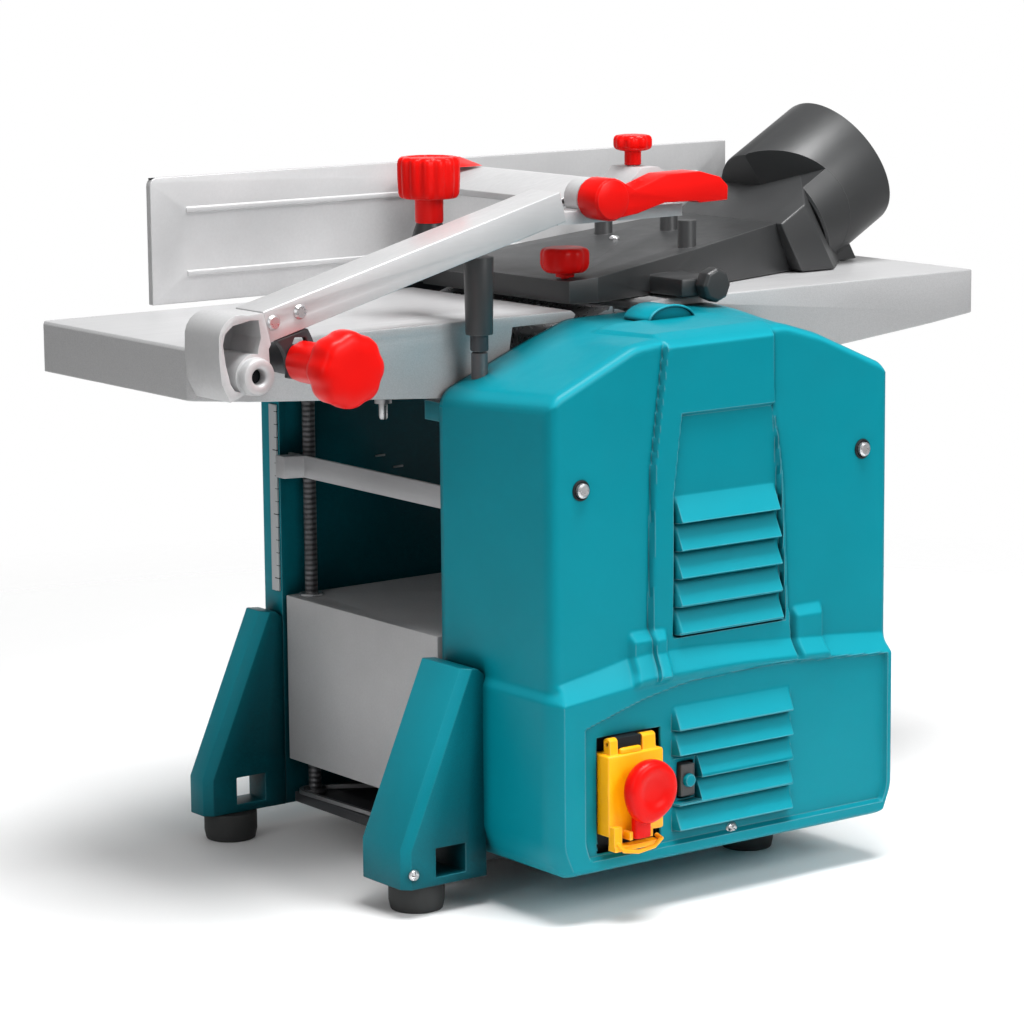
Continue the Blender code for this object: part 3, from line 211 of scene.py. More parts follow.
def metal(name, colour, roughness, metallic, scale, depth, stretch=(1, 1, 1)):
    """Metal with directional tool marks or a cast grain, cloudy handling marks and brighter edges, which are
    painted highlights.
    """
    nodes = Nodes(name)
    marks = nodes.noise(scale, stretch=stretch, detail=3, roughness=0.7)
    clouds = nodes.noise(11, detail=5, roughness=0.6)
    streaks = nodes.remap(marks, 0.3, 0.7, 0.0, 0.35)
    tone = nodes.mix(streaks, nodes.mottled(clouds, colour, 0.08), scaled(colour, 0.86))
    # Brighter rounded edges: a painted highlight.
    rim = nodes.remap(nodes.edges(), 0, 1, 0, 0.3)
    nodes.link(nodes.mix(rim, tone, scaled(colour, 1.25)), nodes.shader.inputs["Base Color"])
    nodes.shader.inputs["Metallic"].default_value = metallic
    gloss = nodes.remap(marks, 0.25, 0.75, roughness - 0.06, roughness + 0.1)
    nodes.link(gloss, nodes.shader.inputs["Roughness"])
    nodes.bump([(marks, 0.4, depth), (clouds, 0.08, 0.0004)])
    return nodes.material


def threaded(name, colour, roughness, pitch):
    """Dark steel with a thread's grooves, a pitch apart along Z, the grooves painted darker as painted shade.
    """
    nodes = Nodes(name)
    folded = nodes.calculate("PINGPONG", nodes.coordinate(nodes.place, "Z"), pitch / 2)
    groove = nodes.remap(folded, pitch * 0.1, pitch * 0.35, 0, 1)
    oily = nodes.noise(60, detail=4)
    crest = nodes.mix(nodes.remap(oily, 0.3, 0.7, 0, 1), scaled(colour, 0.8), scaled(colour, 1.5))
    # The grooves are painted darker than the crests: painted shade.
    nodes.link(nodes.mix(groove, scaled(colour, 0.35), crest), nodes.shader.inputs["Base Color"])
    gloss = nodes.remap(oily, 0.3, 0.7, roughness - 0.05, roughness + 0.12)
    nodes.link(gloss, nodes.shader.inputs["Roughness"])
    nodes.shader.inputs["Metallic"].default_value = 0.6
    nodes.bump([(groove, 0.7, 0.0006)])
    return nodes.material


def machined_table():
    """Cast aluminium: planed lengthwise lines on top, a sprayed grain on the sides and paler edges that are
    painted highlights.
    """
    nodes = Nodes("machined_table")
    on_top = nodes.remap(nodes.facing_up(), 0.7, 0.95, 0, 1)
    lines = nodes.noise(40, stretch=(0.35, 30, 1), detail=2, roughness=0.5)
    grain = nodes.noise(1100, detail=3, roughness=0.7)
    top = nodes.mix(nodes.remap(lines, 0.35, 0.65, 0, 1), (0.46, 0.46, 0.465), (0.56, 0.56, 0.565))
    side = nodes.mix(nodes.remap(grain, 0.35, 0.65, 0, 1), (0.42, 0.42, 0.425), (0.5, 0.5, 0.505))
    clouds = nodes.remap(nodes.noise(7, detail=4), 0.35, 0.75, 0, 0.25)
    body = nodes.mix(clouds, nodes.mix(on_top, side, top), (0.44, 0.44, 0.45))
    # Paler rounded edges: a painted highlight.
    rim = nodes.remap(nodes.edges(), 0, 1, 0, 0.4)
    nodes.link(nodes.mix(rim, body, (0.8, 0.8, 0.8)), nodes.shader.inputs["Base Color"])
    nodes.shader.inputs["Metallic"].default_value = 0.35
    nodes.link(nodes.remap(lines, 0.3, 0.7, 0.36, 0.5), nodes.shader.inputs["Roughness"])
    nodes.bump([(grain, 0.25, 0.00003), (lines, 0.25, 0.00003)])
    return nodes.material


def scale_strip():
    """Pale strip with fine black divisions up its height and a longer one at every fifth."""
    nodes = Nodes("scale_strip")
    low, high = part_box("thickness_scale")

    def ticks(pitch, half_width, share):
        """Lines a pitch apart that reach across a share of the strip."""
        folded = nodes.calculate("PINGPONG", nodes.coordinate(nodes.place, "Z"), pitch / 2)
        line = nodes.calculate("LESS_THAN", folded, half_width)
        end = low.y + (high.y - low.y) * share
        across = nodes.calculate("LESS_THAN", nodes.coordinate(nodes.place, "Y"), end)
        return nodes.calculate("MULTIPLY", line, across)

    marks = nodes.calculate("MAXIMUM", ticks(0.01, 0.0003, 0.3), ticks(0.05, 0.00045, 0.55))
    body = nodes.mix(nodes.noise(120, stretch=(1, 1, 0.1)), (0.4, 0.42, 0.43), (0.52, 0.54, 0.55))
    nodes.link(nodes.mix(marks, body, (0.03, 0.03, 0.035)), nodes.shader.inputs["Base Color"])
    nodes.shader.inputs["Roughness"].default_value = 0.35
    nodes.shader.inputs["Metallic"].default_value = 0.3
    nodes.bump([(nodes.noise(500), 0.2, 0.00003)])
    return nodes.material


# A reach turns on painted light on upward slopes and painted shade where surfaces close in.
PLASTICS = {
    "teal_plastic": dict(colour=TEAL, roughness=0.36, grain=1400, grain_depth=0.00004, spread=0.05, edge_highlight=0.34,
                         specular=0.12, reach=0.012),
    "teal_paint": dict(colour=scaled(TEAL, 0.92), roughness=0.38, grain=700, grain_depth=0.00008, spread=0.07,
                       edge_highlight=0.36, specular=0.14, reach=0.24),
    "red_plastic": dict(colour=RED, roughness=0.33, grain=1100, grain_depth=0.00003, spread=0.06, edge_highlight=0.06,
                        specular=0.16),
    "yellow_plastic": dict(colour=YELLOW, roughness=0.36, grain=1100, grain_depth=0.00003, spread=0.05,
                           edge_highlight=0.2, specular=0.35),
    "green_plastic": dict(colour=(0.01, 0.28, 0.05), roughness=0.4, edge_highlight=0.1),
    "black_plastic": dict(colour=DARK_GREY, roughness=0.4, grain=1300, edge_highlight=0.16, specular=0.6),
    "dark_recess": dict(colour=(0.006, 0.008, 0.01), roughness=0.6, edge_highlight=0.03, specular=0.2),
    "rubber": dict(colour=(0.02, 0.021, 0.021), roughness=0.72, grain=600, grain_depth=0.00014, spread=0.2,
                   edge_highlight=0.06),
    "dark_paint": dict(colour=(0.035, 0.036, 0.04), roughness=0.45, grain=800, grain_depth=0.0001,
                       spread=0.12, edge_highlight=0.2),
}
METALS = {
    "cast_aluminium": dict(colour=(0.52, 0.52, 0.525), roughness=0.42, metallic=0.3, scale=420,
                           depth=0.00004),
    "extruded_aluminium": dict(colour=(0.54, 0.54, 0.545), roughness=0.36, metallic=0.35, scale=300,
                               depth=0.00002, stretch=(0.08, 1, 1.5)),
    "lift_table_aluminium": dict(colour=(0.47, 0.47, 0.475), roughness=0.45, metallic=0.3, scale=600,
                                 depth=0.00003),
    "bright_steel": dict(colour=(0.62, 0.62, 0.63), roughness=0.28, metallic=0.85, scale=220, depth=0.00001),
    "oiled_steel": dict(colour=(0.13, 0.13, 0.135), roughness=0.36, metallic=0.6, scale=240, depth=0.00001),
    "spring_steel": dict(colour=(0.4, 0.4, 0.41), roughness=0.38, metallic=0.6, scale=260, depth=0.00001,
                         stretch=(1, 0.1, 1)),
    "grey_steel": dict(colour=(0.36, 0.36, 0.37), roughness=0.38, metallic=0.85, scale=400, depth=0.00004),
}
MATERIALS = {name: moulded(name, **look) for name, look in PLASTICS.items()}
MATERIALS.update({name: metal(name, **look) for name, look in METALS.items()})
MATERIALS["leadscrew_steel"] = threaded("leadscrew_steel", (0.1, 0.1, 0.105), 0.35, 0.004)
MATERIALS["machined_table"] = machined_table()
MATERIALS["scale_strip"] = scale_strip()

# ---------------------------------------------------------------- meshes


def new_piece(name, made, material, body, replaced=(), angle=32, slot=None):
    """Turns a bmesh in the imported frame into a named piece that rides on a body."""
    slot = slot or material
    mesh = bpy.data.meshes.new(name)
    made.to_mesh(mesh)
    made.free()
    mesh.materials.append(MATERIALS[material])
    mesh.shade_smooth()
    mesh.set_sharp_from_angle(angle=math.radians(angle))
    piece = bpy.data.objects.new(name, mesh)
    bpy.context.scene.collection.objects.link(piece)
    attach(piece, body)
    if replaced:
        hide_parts(*replaced)
    return piece


def body_of_node(node):
    bodies = frame["record"]["behaviour"]["bodies"]
    return [body for body, members in bodies.items() if node in members][0]


def slot_of_node(node):
    rows = frame["record"]["subparts"]
    return [row["material_slot"] for row in rows if row["node"] == node][0]


def refined(node, material, width, reshape=None):
    """The node's own shape with every sharp edge rounded to a given width."""
    made = bmesh.new()
    made.from_mesh(frame["nodes"][node].data)
    bmesh.ops.remove_doubles(made, verts=made.verts, dist=0.00002)
    bmesh.ops.dissolve_limit(made, angle_limit=math.radians(1.0), verts=made.verts, edges=made.edges)
    if reshape:
        reshape(made)
    sharp = math.radians(24)
    edges = [edge for edge in made.edges if len(edge.link_faces) == 2 and edge.calc_face_angle(0) > sharp]
    rounded(made, edges, width)
    new_piece(node + "_shape", made, material, body_of_node(node), [node], slot=slot_of_node(node))


def rounded(made, edges, width, segments=3):
    """Bevel some edges of a bmesh, no wider than they have room for."""
    bmesh.ops.bevel(made, geom=edges, offset=width, segments=segments, profile=0.5, affect="EDGES",
                    clamp_overlap=True)


def at(x, y, z):
    """A point of the design frame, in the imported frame."""
    return Vector((x, y, z)) + SHIFT


def upright_axis(node):
    """The point at Z = 0 in the middle of a node's plan."""
    low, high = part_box(node)
    return Vector(((low.x + high.x) / 2, (low.y + high.y) / 2, 0))


def ramp(value, low, high):
    return max(0.0, min(1.0, (value - low) / (high - low)))


def smooth(value, low, high):
    t = ramp(value, low, high)
    return t * t * (3 - 2 * t)


def between(value, low, low_end, high, high_end):
    """1 in a stretch, eased up from 0 over its first edge and back to 0 over its last."""
    return smooth(value, low, low_end) * (1 - smooth(value, high, high_end))


def line_through(points, x):
    """Height at x of straight lines through points."""
    if x <= points[0][0]:
        return points[0][1]
    for (x0, z0), (x1, z1) in zip(points, points[1:]):
        if x <= x1:
            return z0 + (z1 - z0) * (x - x0) / (x1 - x0)
    return points[-1][1]


def softened(points, x, reach=0.006):
    """The same lines averaged over a short stretch, so that their corners are round."""
    steps = (-1, -0.6, -0.2, 0.2, 0.6, 1)
    return sum(line_through(points, x + reach * step) for step in steps) / len(steps)


# ---------------------------------------------------------------- front cover

COVER_FRONT = -0.2385
COVER_LEFT = -0.1615
COVER_RIGHT = 0.1525
COVER_BOTTOM = 0.0328
COVER_REAR = -0.1057
COVER_HALF_WIDTH = 0.16
COVER_WALL = 0.0026
EDGE_ROUND = 0.007
CORNER_ROUND = 0.01

# Height of the top edge, the ledge and the inset's arch across the cover
TOP_FRONT = [(-0.17, 0.3715), (-0.086, 0.4085), (-0.06, 0.4112), (0.052, 0.4128), (0.085, 0.403),
             (0.16, 0.3705)]
TOP_REAR = [(-0.17, 0.364), (-0.1, 0.3925), (-0.047, 0.4118), (0.087, 0.414), (0.118, 0.406),
            (0.16, 0.384)]
BAND_TOP = [(-0.1646, 0.1738), (-0.123, 0.1808), (-0.0871, 0.1882), (-0.0321, 0.188), (0.0627, 0.1813),
            (0.1547, 0.1729)]
BAND_LOW = [(-0.165, 0.16), (-0.12, 0.1645), (-0.078, 0.1685), (0.0, 0.169), (0.08, 0.1655),
            (0.1548, 0.158)]
INSET_TOP = [(-0.15, 0.137), (-0.1262, 0.144), (-0.085, 0.156), (-0.045, 0.163), (0.042, 0.1655),
             (0.1414, 0.158)]

# Place across the cover, at a height, of the raised panel's two seams and the louvre window's two sides
LEFT_SEAM = [(0.188, -0.076), (0.319, -0.073), (0.408, -0.061)]
RIGHT_SEAM = [(0.187, 0.0545), (0.21, 0.0525), (0.299, 0.048), (0.359, 0.0395), (0.409, 0.0385)]
WINDOW_LEFT = [(0.196, -0.057), (0.298, -0.0562), (0.357, -0.0485)]
WINDOW_RIGHT = [(0.196, 0.049), (0.298, 0.0445), (0.357, 0.041)]

SKIRT_PROUD = 0.009
PANEL_PROUD = 0.0042
SEAM_DEPTH = 0.0012
SEAM_HALF_WIDTH = 0.0018
BAND_FEET = ((-0.096, -0.062), (0.056, 0.088))
FOOT_PROUD = 0.005
WINDOW_DEPTH = 0.0044
INSET_DEPTH = 0.0034
SWITCH_HOLE = ((-0.1278, 0.0495), (-0.07, 0.134))
RESET_HOLE = ((-0.0552, 0.0785), (-0.0396, 0.1055))

# Lowest edge, pitch, number and depth of the louvres' slats
UPPER_LOUVRES = (0.197, 0.0202, 5, 0.0096)
LOWER_LOUVRES = (0.0551, 0.0184, 5, 0.0086)


def round_off(distance, radius):
    """How far a rounded edge has fallen away at a distance inside it."""
    if distance >= radius:
        return 0.0
    return radius - math.sqrt(max(0.0, radius * radius - (radius - distance) ** 2))


def top_edge(points, x):
    """Height of the cover's top edge at x, with its round corners."""
    return softened(points, x, 0.005) - round_off(min(x - COVER_LEFT, COVER_RIGHT - x), CORNER_ROUND)


def slats(z, first, pitch, count, depth):
    """Louvre relief: each slat swells towards its lower edge and drops back under it."""
    row = (z - first) / pitch
    if row < 0 or row >= count:
        return 0.0
    part_way = row - math.floor(row)
    return depth * (1 - part_way) * smooth(part_way, 0.0, 0.07)


def upper_relief(x, z, above):
    """The raised panel, its seams, the band's two feet and the louvre window above the ledge."""
    seams = (line_through(LEFT_SEAM, z), line_through(RIGHT_SEAM, z))
    inside = between(x, seams[0] - 0.0008, seams[0] + 0.0012, seams[1] - 0.0012, seams[1] + 0.0008)
    height = PANEL_PROUD * inside * above
    for seam in seams:
        height -= SEAM_DEPTH * math.exp(-(((x - seam) / SEAM_HALF_WIDTH) ** 2)) * smooth(z, 0.2, 0.207)
    foot = smooth(-z, -0.206, -0.196) * above
    for low, high in BAND_FEET:
        height += FOOT_PROUD * foot * between(x, low, low + 0.005, high - 0.005, high)
    left, right = line_through(WINDOW_LEFT, z), line_through(WINDOW_RIGHT, z)
    window = between(x, left, left + 0.0018, right - 0.0018, right)
    height -= WINDOW_DEPTH * window * between(z, 0.196, 0.1976, 0.3552, 0.3572)
    lip = between(x, left + 0.002, left + 0.005, right - 0.005, right - 0.002)
    return height + slats(z, *UPPER_LOUVRES) * lip


def lower_relief(x, z):
    """The arched inset below the ledge and its louvres, which stop short of the reset button."""
    arch = softened(INSET_TOP, x, 0.008)
    inner = between(x, -0.1372, -0.1358, 0.1408, 0.1422) * between(z, 0.0462, 0.0476, arch, arch + 0.0016)
    lip = between(x, -0.059, -0.056, 0.048, 0.0515)
    if x < -0.0375 and 0.0765 < z < 0.1075:
        lip = 0
    return slats(z, *LOWER_LOUVRES) * lip - INSET_DEPTH * inner


def relief(x, z):
    """How far the cover's front stands proud of its base plane."""
    band_low = softened(BAND_LOW, x)
    skirt = SKIRT_PROUD * ramp(-z, -softened(BAND_TOP, x), -band_low)
    above = smooth(z, band_low - 0.004, band_low + 0.004)
    return skirt + upper_relief(x, z, above) + lower_relief(x, z)


def spaced(low, high, step, extra):
    """Grid lines a step apart, with extra ones where an edge must fall exactly."""
    count = round((high - low) / step)
    lines = [low + (high - low) * i / count for i in range(count + 1)]
    lines = [line for line in lines if all(abs(line - other) > step * 0.45 for other in extra)]
    return sorted(lines + list(extra))


def front_point(x, z, top, bottom):
    """A point of the cover's front, whose relief fades out over the rounded rim."""
    band_low = softened(BAND_LOW, x)
    taper = 0.01 * smooth(-z, -0.062, -0.03)
    flare = 0.003 * smooth(-z, -band_low - 0.01, -band_low)
    edge = max(0.0, min(x - COVER_LEFT, COVER_RIGHT - x, (top - z) * 0.94, z - bottom))
    y = COVER_FRONT - relief(x, z) * smooth(edge, 0.0, EDGE_ROUND) + round_off(edge, EDGE_ROUND)
    return at(x * (1 - (taper - flare) / COVER_HALF_WIDTH), y, z)


def front_grid(made):
    """Columns of vertices over the cover's front, with lines at the holes' and the slats' edges."""
    step = 0.00125
    holes = SWITCH_HOLE + RESET_HOLE
    rows = [corner[1] for corner in holes]
    for first, pitch, count, _depth in (UPPER_LOUVRES, LOWER_LOUVRES):
        rows += [first + pitch * i for i in range(count + 1)]
        rows += [first + pitch * i + 0.001 for i in range(count)]
    straight_low, straight_high = 0.0445, 0.356
    rows = spaced(straight_low, straight_high, step, rows)
    low_rows, high_rows = 8, 40
    grid = []
    for x in spaced(COVER_LEFT, COVER_RIGHT, step, [corner[0] for corner in holes]):
        top = top_edge(TOP_FRONT, x)
        bottom = COVER_BOTTOM + round_off(min(x - COVER_LEFT, COVER_RIGHT - x), CORNER_ROUND)
        column = [bottom + (straight_low - bottom) * i / low_rows for i in range(low_rows)] + rows
        column += [straight_high + (top - straight_high) * (i + 1) / high_rows for i in range(high_rows)]
        grid.append([made.verts.new(front_point(x, z, top, bottom)) for z in column])
    return grid


def inside_hole(point, hole):
    (x_low, z_low), (x_high, z_high) = hole
    return x_low < point.x < x_high and z_low < point.z < z_high


def make_front_cover():
    """The cover's front with its two holes, and its walls swept back to the machine's side."""
    made = bmesh.new()
    grid = front_grid(made)
    width, height = len(grid), len(grid[0])
    for i in range(width - 1):
        for j in range(height - 1):
            middle = (grid[i][j].co + grid[i + 1][j + 1].co) / 2 - SHIFT
            if not inside_hole(middle, SWITCH_HOLE) and not inside_hole(middle, RESET_HOLE):
                made.faces.new((grid[i][j], grid[i + 1][j], grid[i + 1][j + 1], grid[i][j + 1]))
    border = [grid[i][0] for i in range(width)]
    border += [grid[width - 1][j] for j in range(1, height)]
    border += [grid[i][height - 1] for i in range(width - 2, -1, -1)]
    border += [grid[0][j] for j in range(height - 2, 0, -1)]
    steps = 26
    before = border
    for row in range(1, steps + 1):
        share = row / steps
        ring = []
        for vert in border:
            x, y, z = vert.co - SHIFT
            top_front = top_edge(TOP_FRONT, x)
            part_up = min(1.0, max(0.0, (z - 0.33) / (top_front - 0.33)))
            rise = (top_edge(TOP_REAR, x) - top_front) * share * part_up**2
            on_panel = between(x, -0.064, -0.061, 0.04, 0.043) * part_up
            rise += 0.0022 * on_panel * between(share, 0, 0.04, 0.55, 0.6)
            ring.append(made.verts.new(at(x, y + (COVER_REAR - y) * share, z + rise)))
        for i in range(len(border)):
            following = (i + 1) % len(border)
            made.faces.new((before[following], before[i], ring[i], ring[following]))
        before = ring
    bmesh.ops.recalc_face_normals(made, faces=made.faces)
    front = max(made.faces, key=lambda face: -face.calc_center_median().y)
    if front.normal.y > 0:
        bmesh.ops.reverse_faces(made, faces=made.faces)
    cover = new_piece("front_cover_shape", made, "teal_plastic", "frame", ["front_cover"], 38)
    shell = cover.modifiers.new("wall", "SOLIDIFY")
    shell.thickness = COVER_WALL
    shell.offset = -1


# ---------------------------------------------------------------- turned and lobed pieces


def skin(made, rings):
    """Faces between each ring of vertices and the next, and one across each end."""
    for lower, upper in zip(rings, rings[1:]):
        for i in range(len(lower)):
            following = (i + 1) % len(lower)
            made.faces.new((lower[i], lower[following], upper[following], upper[i]))
    made.faces.new(rings[0])
    made.faces.new(rings[-1])
    bmesh.ops.recalc_face_normals(made, faces=made.faces)


def revolved(name, place, direction, profile, count, form, material, body, replaced=(), angle=35,
             reshape=None, slot=None):
    """Skinned rings round an axis; form makes a profile's row and an angle into reach and rise."""
    made = bmesh.new()
    turn = Vector(UP).rotation_difference(Vector(direction)).to_matrix()
    rings = []
    for row in profile:
        ring = []
        for i in range(count):
            around = 2 * math.pi * i / count
            reach, rise = form(*row, around)
            point = Vector((reach * math.cos(around), reach * math.sin(around), rise))
            ring.append(made.verts.new(place + turn @ point))
        rings.append(ring)
    skin(made, rings)
    if reshape:
        reshape(made)
    new_piece(name, made, material, body, replaced, angle, slot)


def lobed(name, place, direction, profile, lobes, dip, material, body, replaced=(), sides=8):
    """A knob whose profile gives its radius, its height and how deep the lobes are there."""

    def form(radius, height, share, around):
        return radius - dip * share * (0.5 - 0.5 * math.cos(lobes * around)) ** 1.5, height

    revolved(name, place, direction, profile, lobes * sides, form, material, body, replaced)


def turned(name, place, direction, outline, material, body, replaced=(), sides=40, **more):
    """A round piece whose outline gives its radius and height."""

    def form(radius, height, around):
        return radius, height

    revolved(name, place, direction, outline, sides, form, material, body, replaced, **more)


def make_crank_grip():
    axis = upright_axis("crank_grip")
    profile = [
        (0.0052, 0.485, 0), (0.0098, 0.485, 0), (0.0103, 0.486, 0), (0.0104, 0.501, 0),
        (0.011, 0.5022, 0), (0.019, 0.5028, 0.2), (0.0208, 0.5034, 0.6), (0.0219, 0.5048, 1),
        (0.0225, 0.507, 1), (0.023, 0.517, 1), (0.0231, 0.527, 1), (0.0228, 0.5298, 1),
        (0.0218, 0.5318, 0.8), (0.0204, 0.5326, 0.5), (0.016, 0.5328, 0.1), (0.015, 0.5321, 0),
        (0.006, 0.5317, 0),
    ]
    lobed("crank_grip_shape", axis, UP, profile, 14, 0.0016, "red_plastic", "crank_grip", ["crank_grip"], 10)
    skirt = [(0.006, 0.4662), (0.0142, 0.4662), (0.0146, 0.4672), (0.0132, 0.474), (0.0098, 0.484),
             (0.009, 0.4856)]
    turned("crank_grip_skirt", axis, UP, skirt, "black_plastic", "crank_grip")


def make_spindle_top():
    """The lift spindle: a plain shaft below and a slimmer square-shouldered end under the crank."""
    low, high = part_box("lift_spindle")
    outline = [(0.0088, low.z + 0.0002), (0.0088, 0.355), (0.0068, 0.356), (0.0068, 0.376),
               (0.006, 0.3766), (0.006, high.z - 0.001), (0.005, high.z - 0.0002)]
    turned("lift_spindle_shape", upright_axis("lift_spindle"), UP, outline, "oiled_steel", "lift_spindle",
           ["lift_spindle"])


def slim_crank(made):
    """The crank's socket tapers from its top to its foot."""
    axis = upright_axis("lift_spindle")
    socket_radius = 0.0135
    for vert in made.verts:
        off = vert.co - axis
        off.z = 0
        if off.length < socket_radius:
            vert.co -= off * (0.2 - 0.1 * smooth(vert.co.z, 0.385, 0.455))


def chamfered_leg(made):
    """A wide flat chamfer where the leg's outer edge meets its front face."""
    outer_side = -0.185
    chamfer_top = 0.2505
    hand_hole_low, hand_hole_high = 0.0279, 0.0491
    made.normal_update()
    edges = []
    for edge in made.edges:
        first, second = (vert.co for vert in edge.verts)
        in_front = any(face.normal.y < -0.9 for face in edge.link_faces)
        at_side = any(face.normal.x < -0.5 for face in edge.link_faces)
        outer = (first.x + second.x) / 2 < outer_side and min(first.z, second.z) < chamfer_top
        beside_hole = all(hand_hole_low < end.z < hand_hole_high for end in (first, second))
        if in_front and at_side and outer and not beside_hole and edge.calc_length() > 0.02:
            edges.append(edge)
    rounded(made, edges, 0.006, segments=1)


def make_arm_lock_knob():
    low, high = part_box("arm_lock_knob")
    place = Vector(((low.x + high.x) / 2, low.y, (low.z + high.z) / 2))
    profile = [
        (0.004, 0.001, 0), (0.012, 0.0006, 0.1), (0.019, 0.0012, 0.4), (0.0232, 0.0024, 0.8),
        (0.0254, 0.0046, 1), (0.0264, 0.008, 1), (0.0268, 0.013, 1), (0.0266, 0.019, 1),
        (0.0256, 0.0228, 1), (0.023, 0.0252, 0.9), (0.018, 0.0268, 0.7), (0.0156, 0.0285, 0.5),
        (0.0148, 0.033, 0.4), (0.0144, 0.0655, 0.4), (0.0136, 0.0668, 0.2), (0.004, 0.067, 0),
    ]
    lobed("arm_lock_knob_shape", place, BACK, profile, 8, 0.0014, "red_plastic", "arm_lock_knob",
          ["arm_lock_knob"], 12)
    bush = [(0.003, 0.0734), (0.009, 0.0735), (0.01, 0.075), (0.0106, 0.08), (0.011, 0.088),
            (0.0107, 0.097), (0.0098, 0.103), (0.0086, 0.1046), (0.003, 0.1047)]
    turned("arm_lock_bush", place, BACK, bush, "dark_paint", "arm_lock_knob", sides=36)
    stem = [(0.003, 0.066), (0.003, 0.1155)]
    turned("arm_lock_stem", place, BACK, stem, "bright_steel", "arm_lock_knob", sides=24)


def make_pivot_ring():
    """The arm's pivot: a rounded cast ring on the knuckle's boss round a hollow pin, whose end is painted
    near black as the shade in its hole.
    """
    low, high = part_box("guard_pivot_pin")
    place = Vector(((low.x + high.x) / 2, low.y + 0.0075, (low.z + high.z) / 2))
    ring = [(0.0054, -0.01), (0.0054, 0.004), (0.006, 0.0052), (0.0074, 0.006), (0.0098, 0.0062),
            (0.0118, 0.0056), (0.0127, 0.0042), (0.0129, 0.002), (0.0129, -0.003)]
    turned("guard_pivot_ring", place, FRONT, ring, "cast_aluminium", "guard_arm", sides=48)
    # The pin's end in the near-black colour: painted shade in the hole.
    core = [(0.0052, -0.042), (0.0052, -0.002), (0.0046, -0.0016), (0.001, -0.0015)]
    turned("guard_pivot_pin_shape", place, FRONT, core, "dark_recess", "infeed_table", ["guard_pivot_pin"],
           sides=32, slot="bright_steel")


def make_slot_lug():
    """The knuckle's slotted lug under the tube: an arch whose two prongs straddle the star knob's bolt."""
    centre_x, centre_z = -0.3455, 0.4005
    tube_x, tube_z, tube_slope = -0.335, 0.399, math.radians(14.6)
    below_tube = 0.0209

    def swept(radius, first, last):
        """An arc round the pivot, as far as it stays under the tube."""
        points = []
        for i in range(15):
            turned_by = math.radians(first + (last - first) * i / 14)
            x, z = centre_x + radius * math.cos(turned_by), centre_z + radius * math.sin(turned_by)
            if (z - tube_z) * math.cos(tube_slope) - (x - tube_x) * math.sin(tube_slope) < below_tube:
                points.append((x, z))
        return points

    outline = swept(0.0545, -9, 48) + swept(0.03, 48, -9) + swept(0.0356, -9, 26)
    outline += swept(0.0426, 33, 33)[:1] + swept(0.0496, 27, -9)
    lug = prism("arm_slot_lug_shape", outline, -0.1455, -0.14, 0.0008, "dark_paint", "guard_arm")
    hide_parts("arm_slot_lug")


def sliced(made, place, facing):
    """Cut away what lies beyond a plane and close the cut."""
    everything = made.verts[:] + made.edges[:] + made.faces[:]
    cut = bmesh.ops.bisect_plane(made, geom=everything, plane_co=place, plane_no=facing, clear_outer=True)
    rim = [item for item in cut["geom_cut"] if isinstance(item, bmesh.types.BMEdge)]
    bmesh.ops.contextual_create(made, geom=rim)
    bmesh.ops.recalc_face_normals(made, faces=made.faces)


def make_chute():
    """The hood's chute: a chamfered box and a round hose port, both square to one tilted axis."""
    tilt = math.radians(30)
    root = at(0.284, 0.04, 0.461)
    axis = Vector((math.cos(tilt), 0, math.sin(tilt)))
    side = Vector((0, 1, 0))
    up = Vector((-math.sin(tilt), 0, math.cos(tilt)))
    outline = [(-0.0539, -0.074), (-0.0251, -0.074), (0.0127, -0.0316), (0.033, -0.026), (0.033, 0.048),
               (-0.01, 0.06), (-0.0539, 0.06)]
    made = bmesh.new()
    corners = [root + axis * a + side * s for a, s in outline]
    skin(made, [[made.verts.new(corner + up * rise) for corner in corners] for rise in (-0.07, 0.0288)])
    sliced(made, (0, 0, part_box("dust_chute")[0].z), (0, 0, -1))
    bmesh.ops.bevel(made, geom=made.edges[:], offset=0.0014, segments=3, profile=0.5, affect="EDGES")
    new_piece("dust_chute_collar", made, "black_plastic", "frame", ["dust_chute"], 30)
    port = [(0.001, -0.006), (0.056, -0.006), (0.0574, -0.0054), (0.058, -0.004), (0.058, 0.07),
            (0.0576, 0.0715), (0.0564, 0.072), (0.0552, 0.0715), (0.0546, 0.07), (0.054, 0.036),
            (0.001, 0.034)]
    corner = root + axis * 0.0127 + side * -0.0316 + up * 0.0308
    facing = axis * -0.853 + side * -0.515 + up * 0.083
    turned("dust_port", root, axis, port, "black_plastic", "frame", sides=96, angle=28,
           reshape=lambda made: sliced(made, corner, facing))
    port_root = [(0.001, -0.0058), (0.0562, -0.0058), (0.0578, -0.004), (0.0578, 0.033), (0.001, 0.0332)]
    turned("dust_port_root", root, axis, port_root, "black_plastic", "frame", sides=96, angle=28,
           reshape=lambda made: sliced(made, root + up * 0.0286, up))


def make_hood_knob():
    profile = [
        (0.0031, 0.4242, 0), (0.0031, 0.4379, 0), (0.007, 0.4381, 0), (0.0072, 0.441, 0),
        (0.014, 0.4415, 0.3), (0.016, 0.4428, 0.7), (0.0176, 0.445, 1), (0.0184, 0.448, 1),
        (0.0184, 0.4555, 1), (0.0178, 0.4578, 1), (0.0164, 0.4592, 0.8), (0.014, 0.4599, 0.4),
        (0.009, 0.46, 0), (0.006, 0.4598, 0),
    ]
    lobed("hood_knob_shape", upright_axis("hood_knob"), UP, profile, 8, 0.0014, "red_plastic", "hood_knob",
          ["hood_knob"], 10)


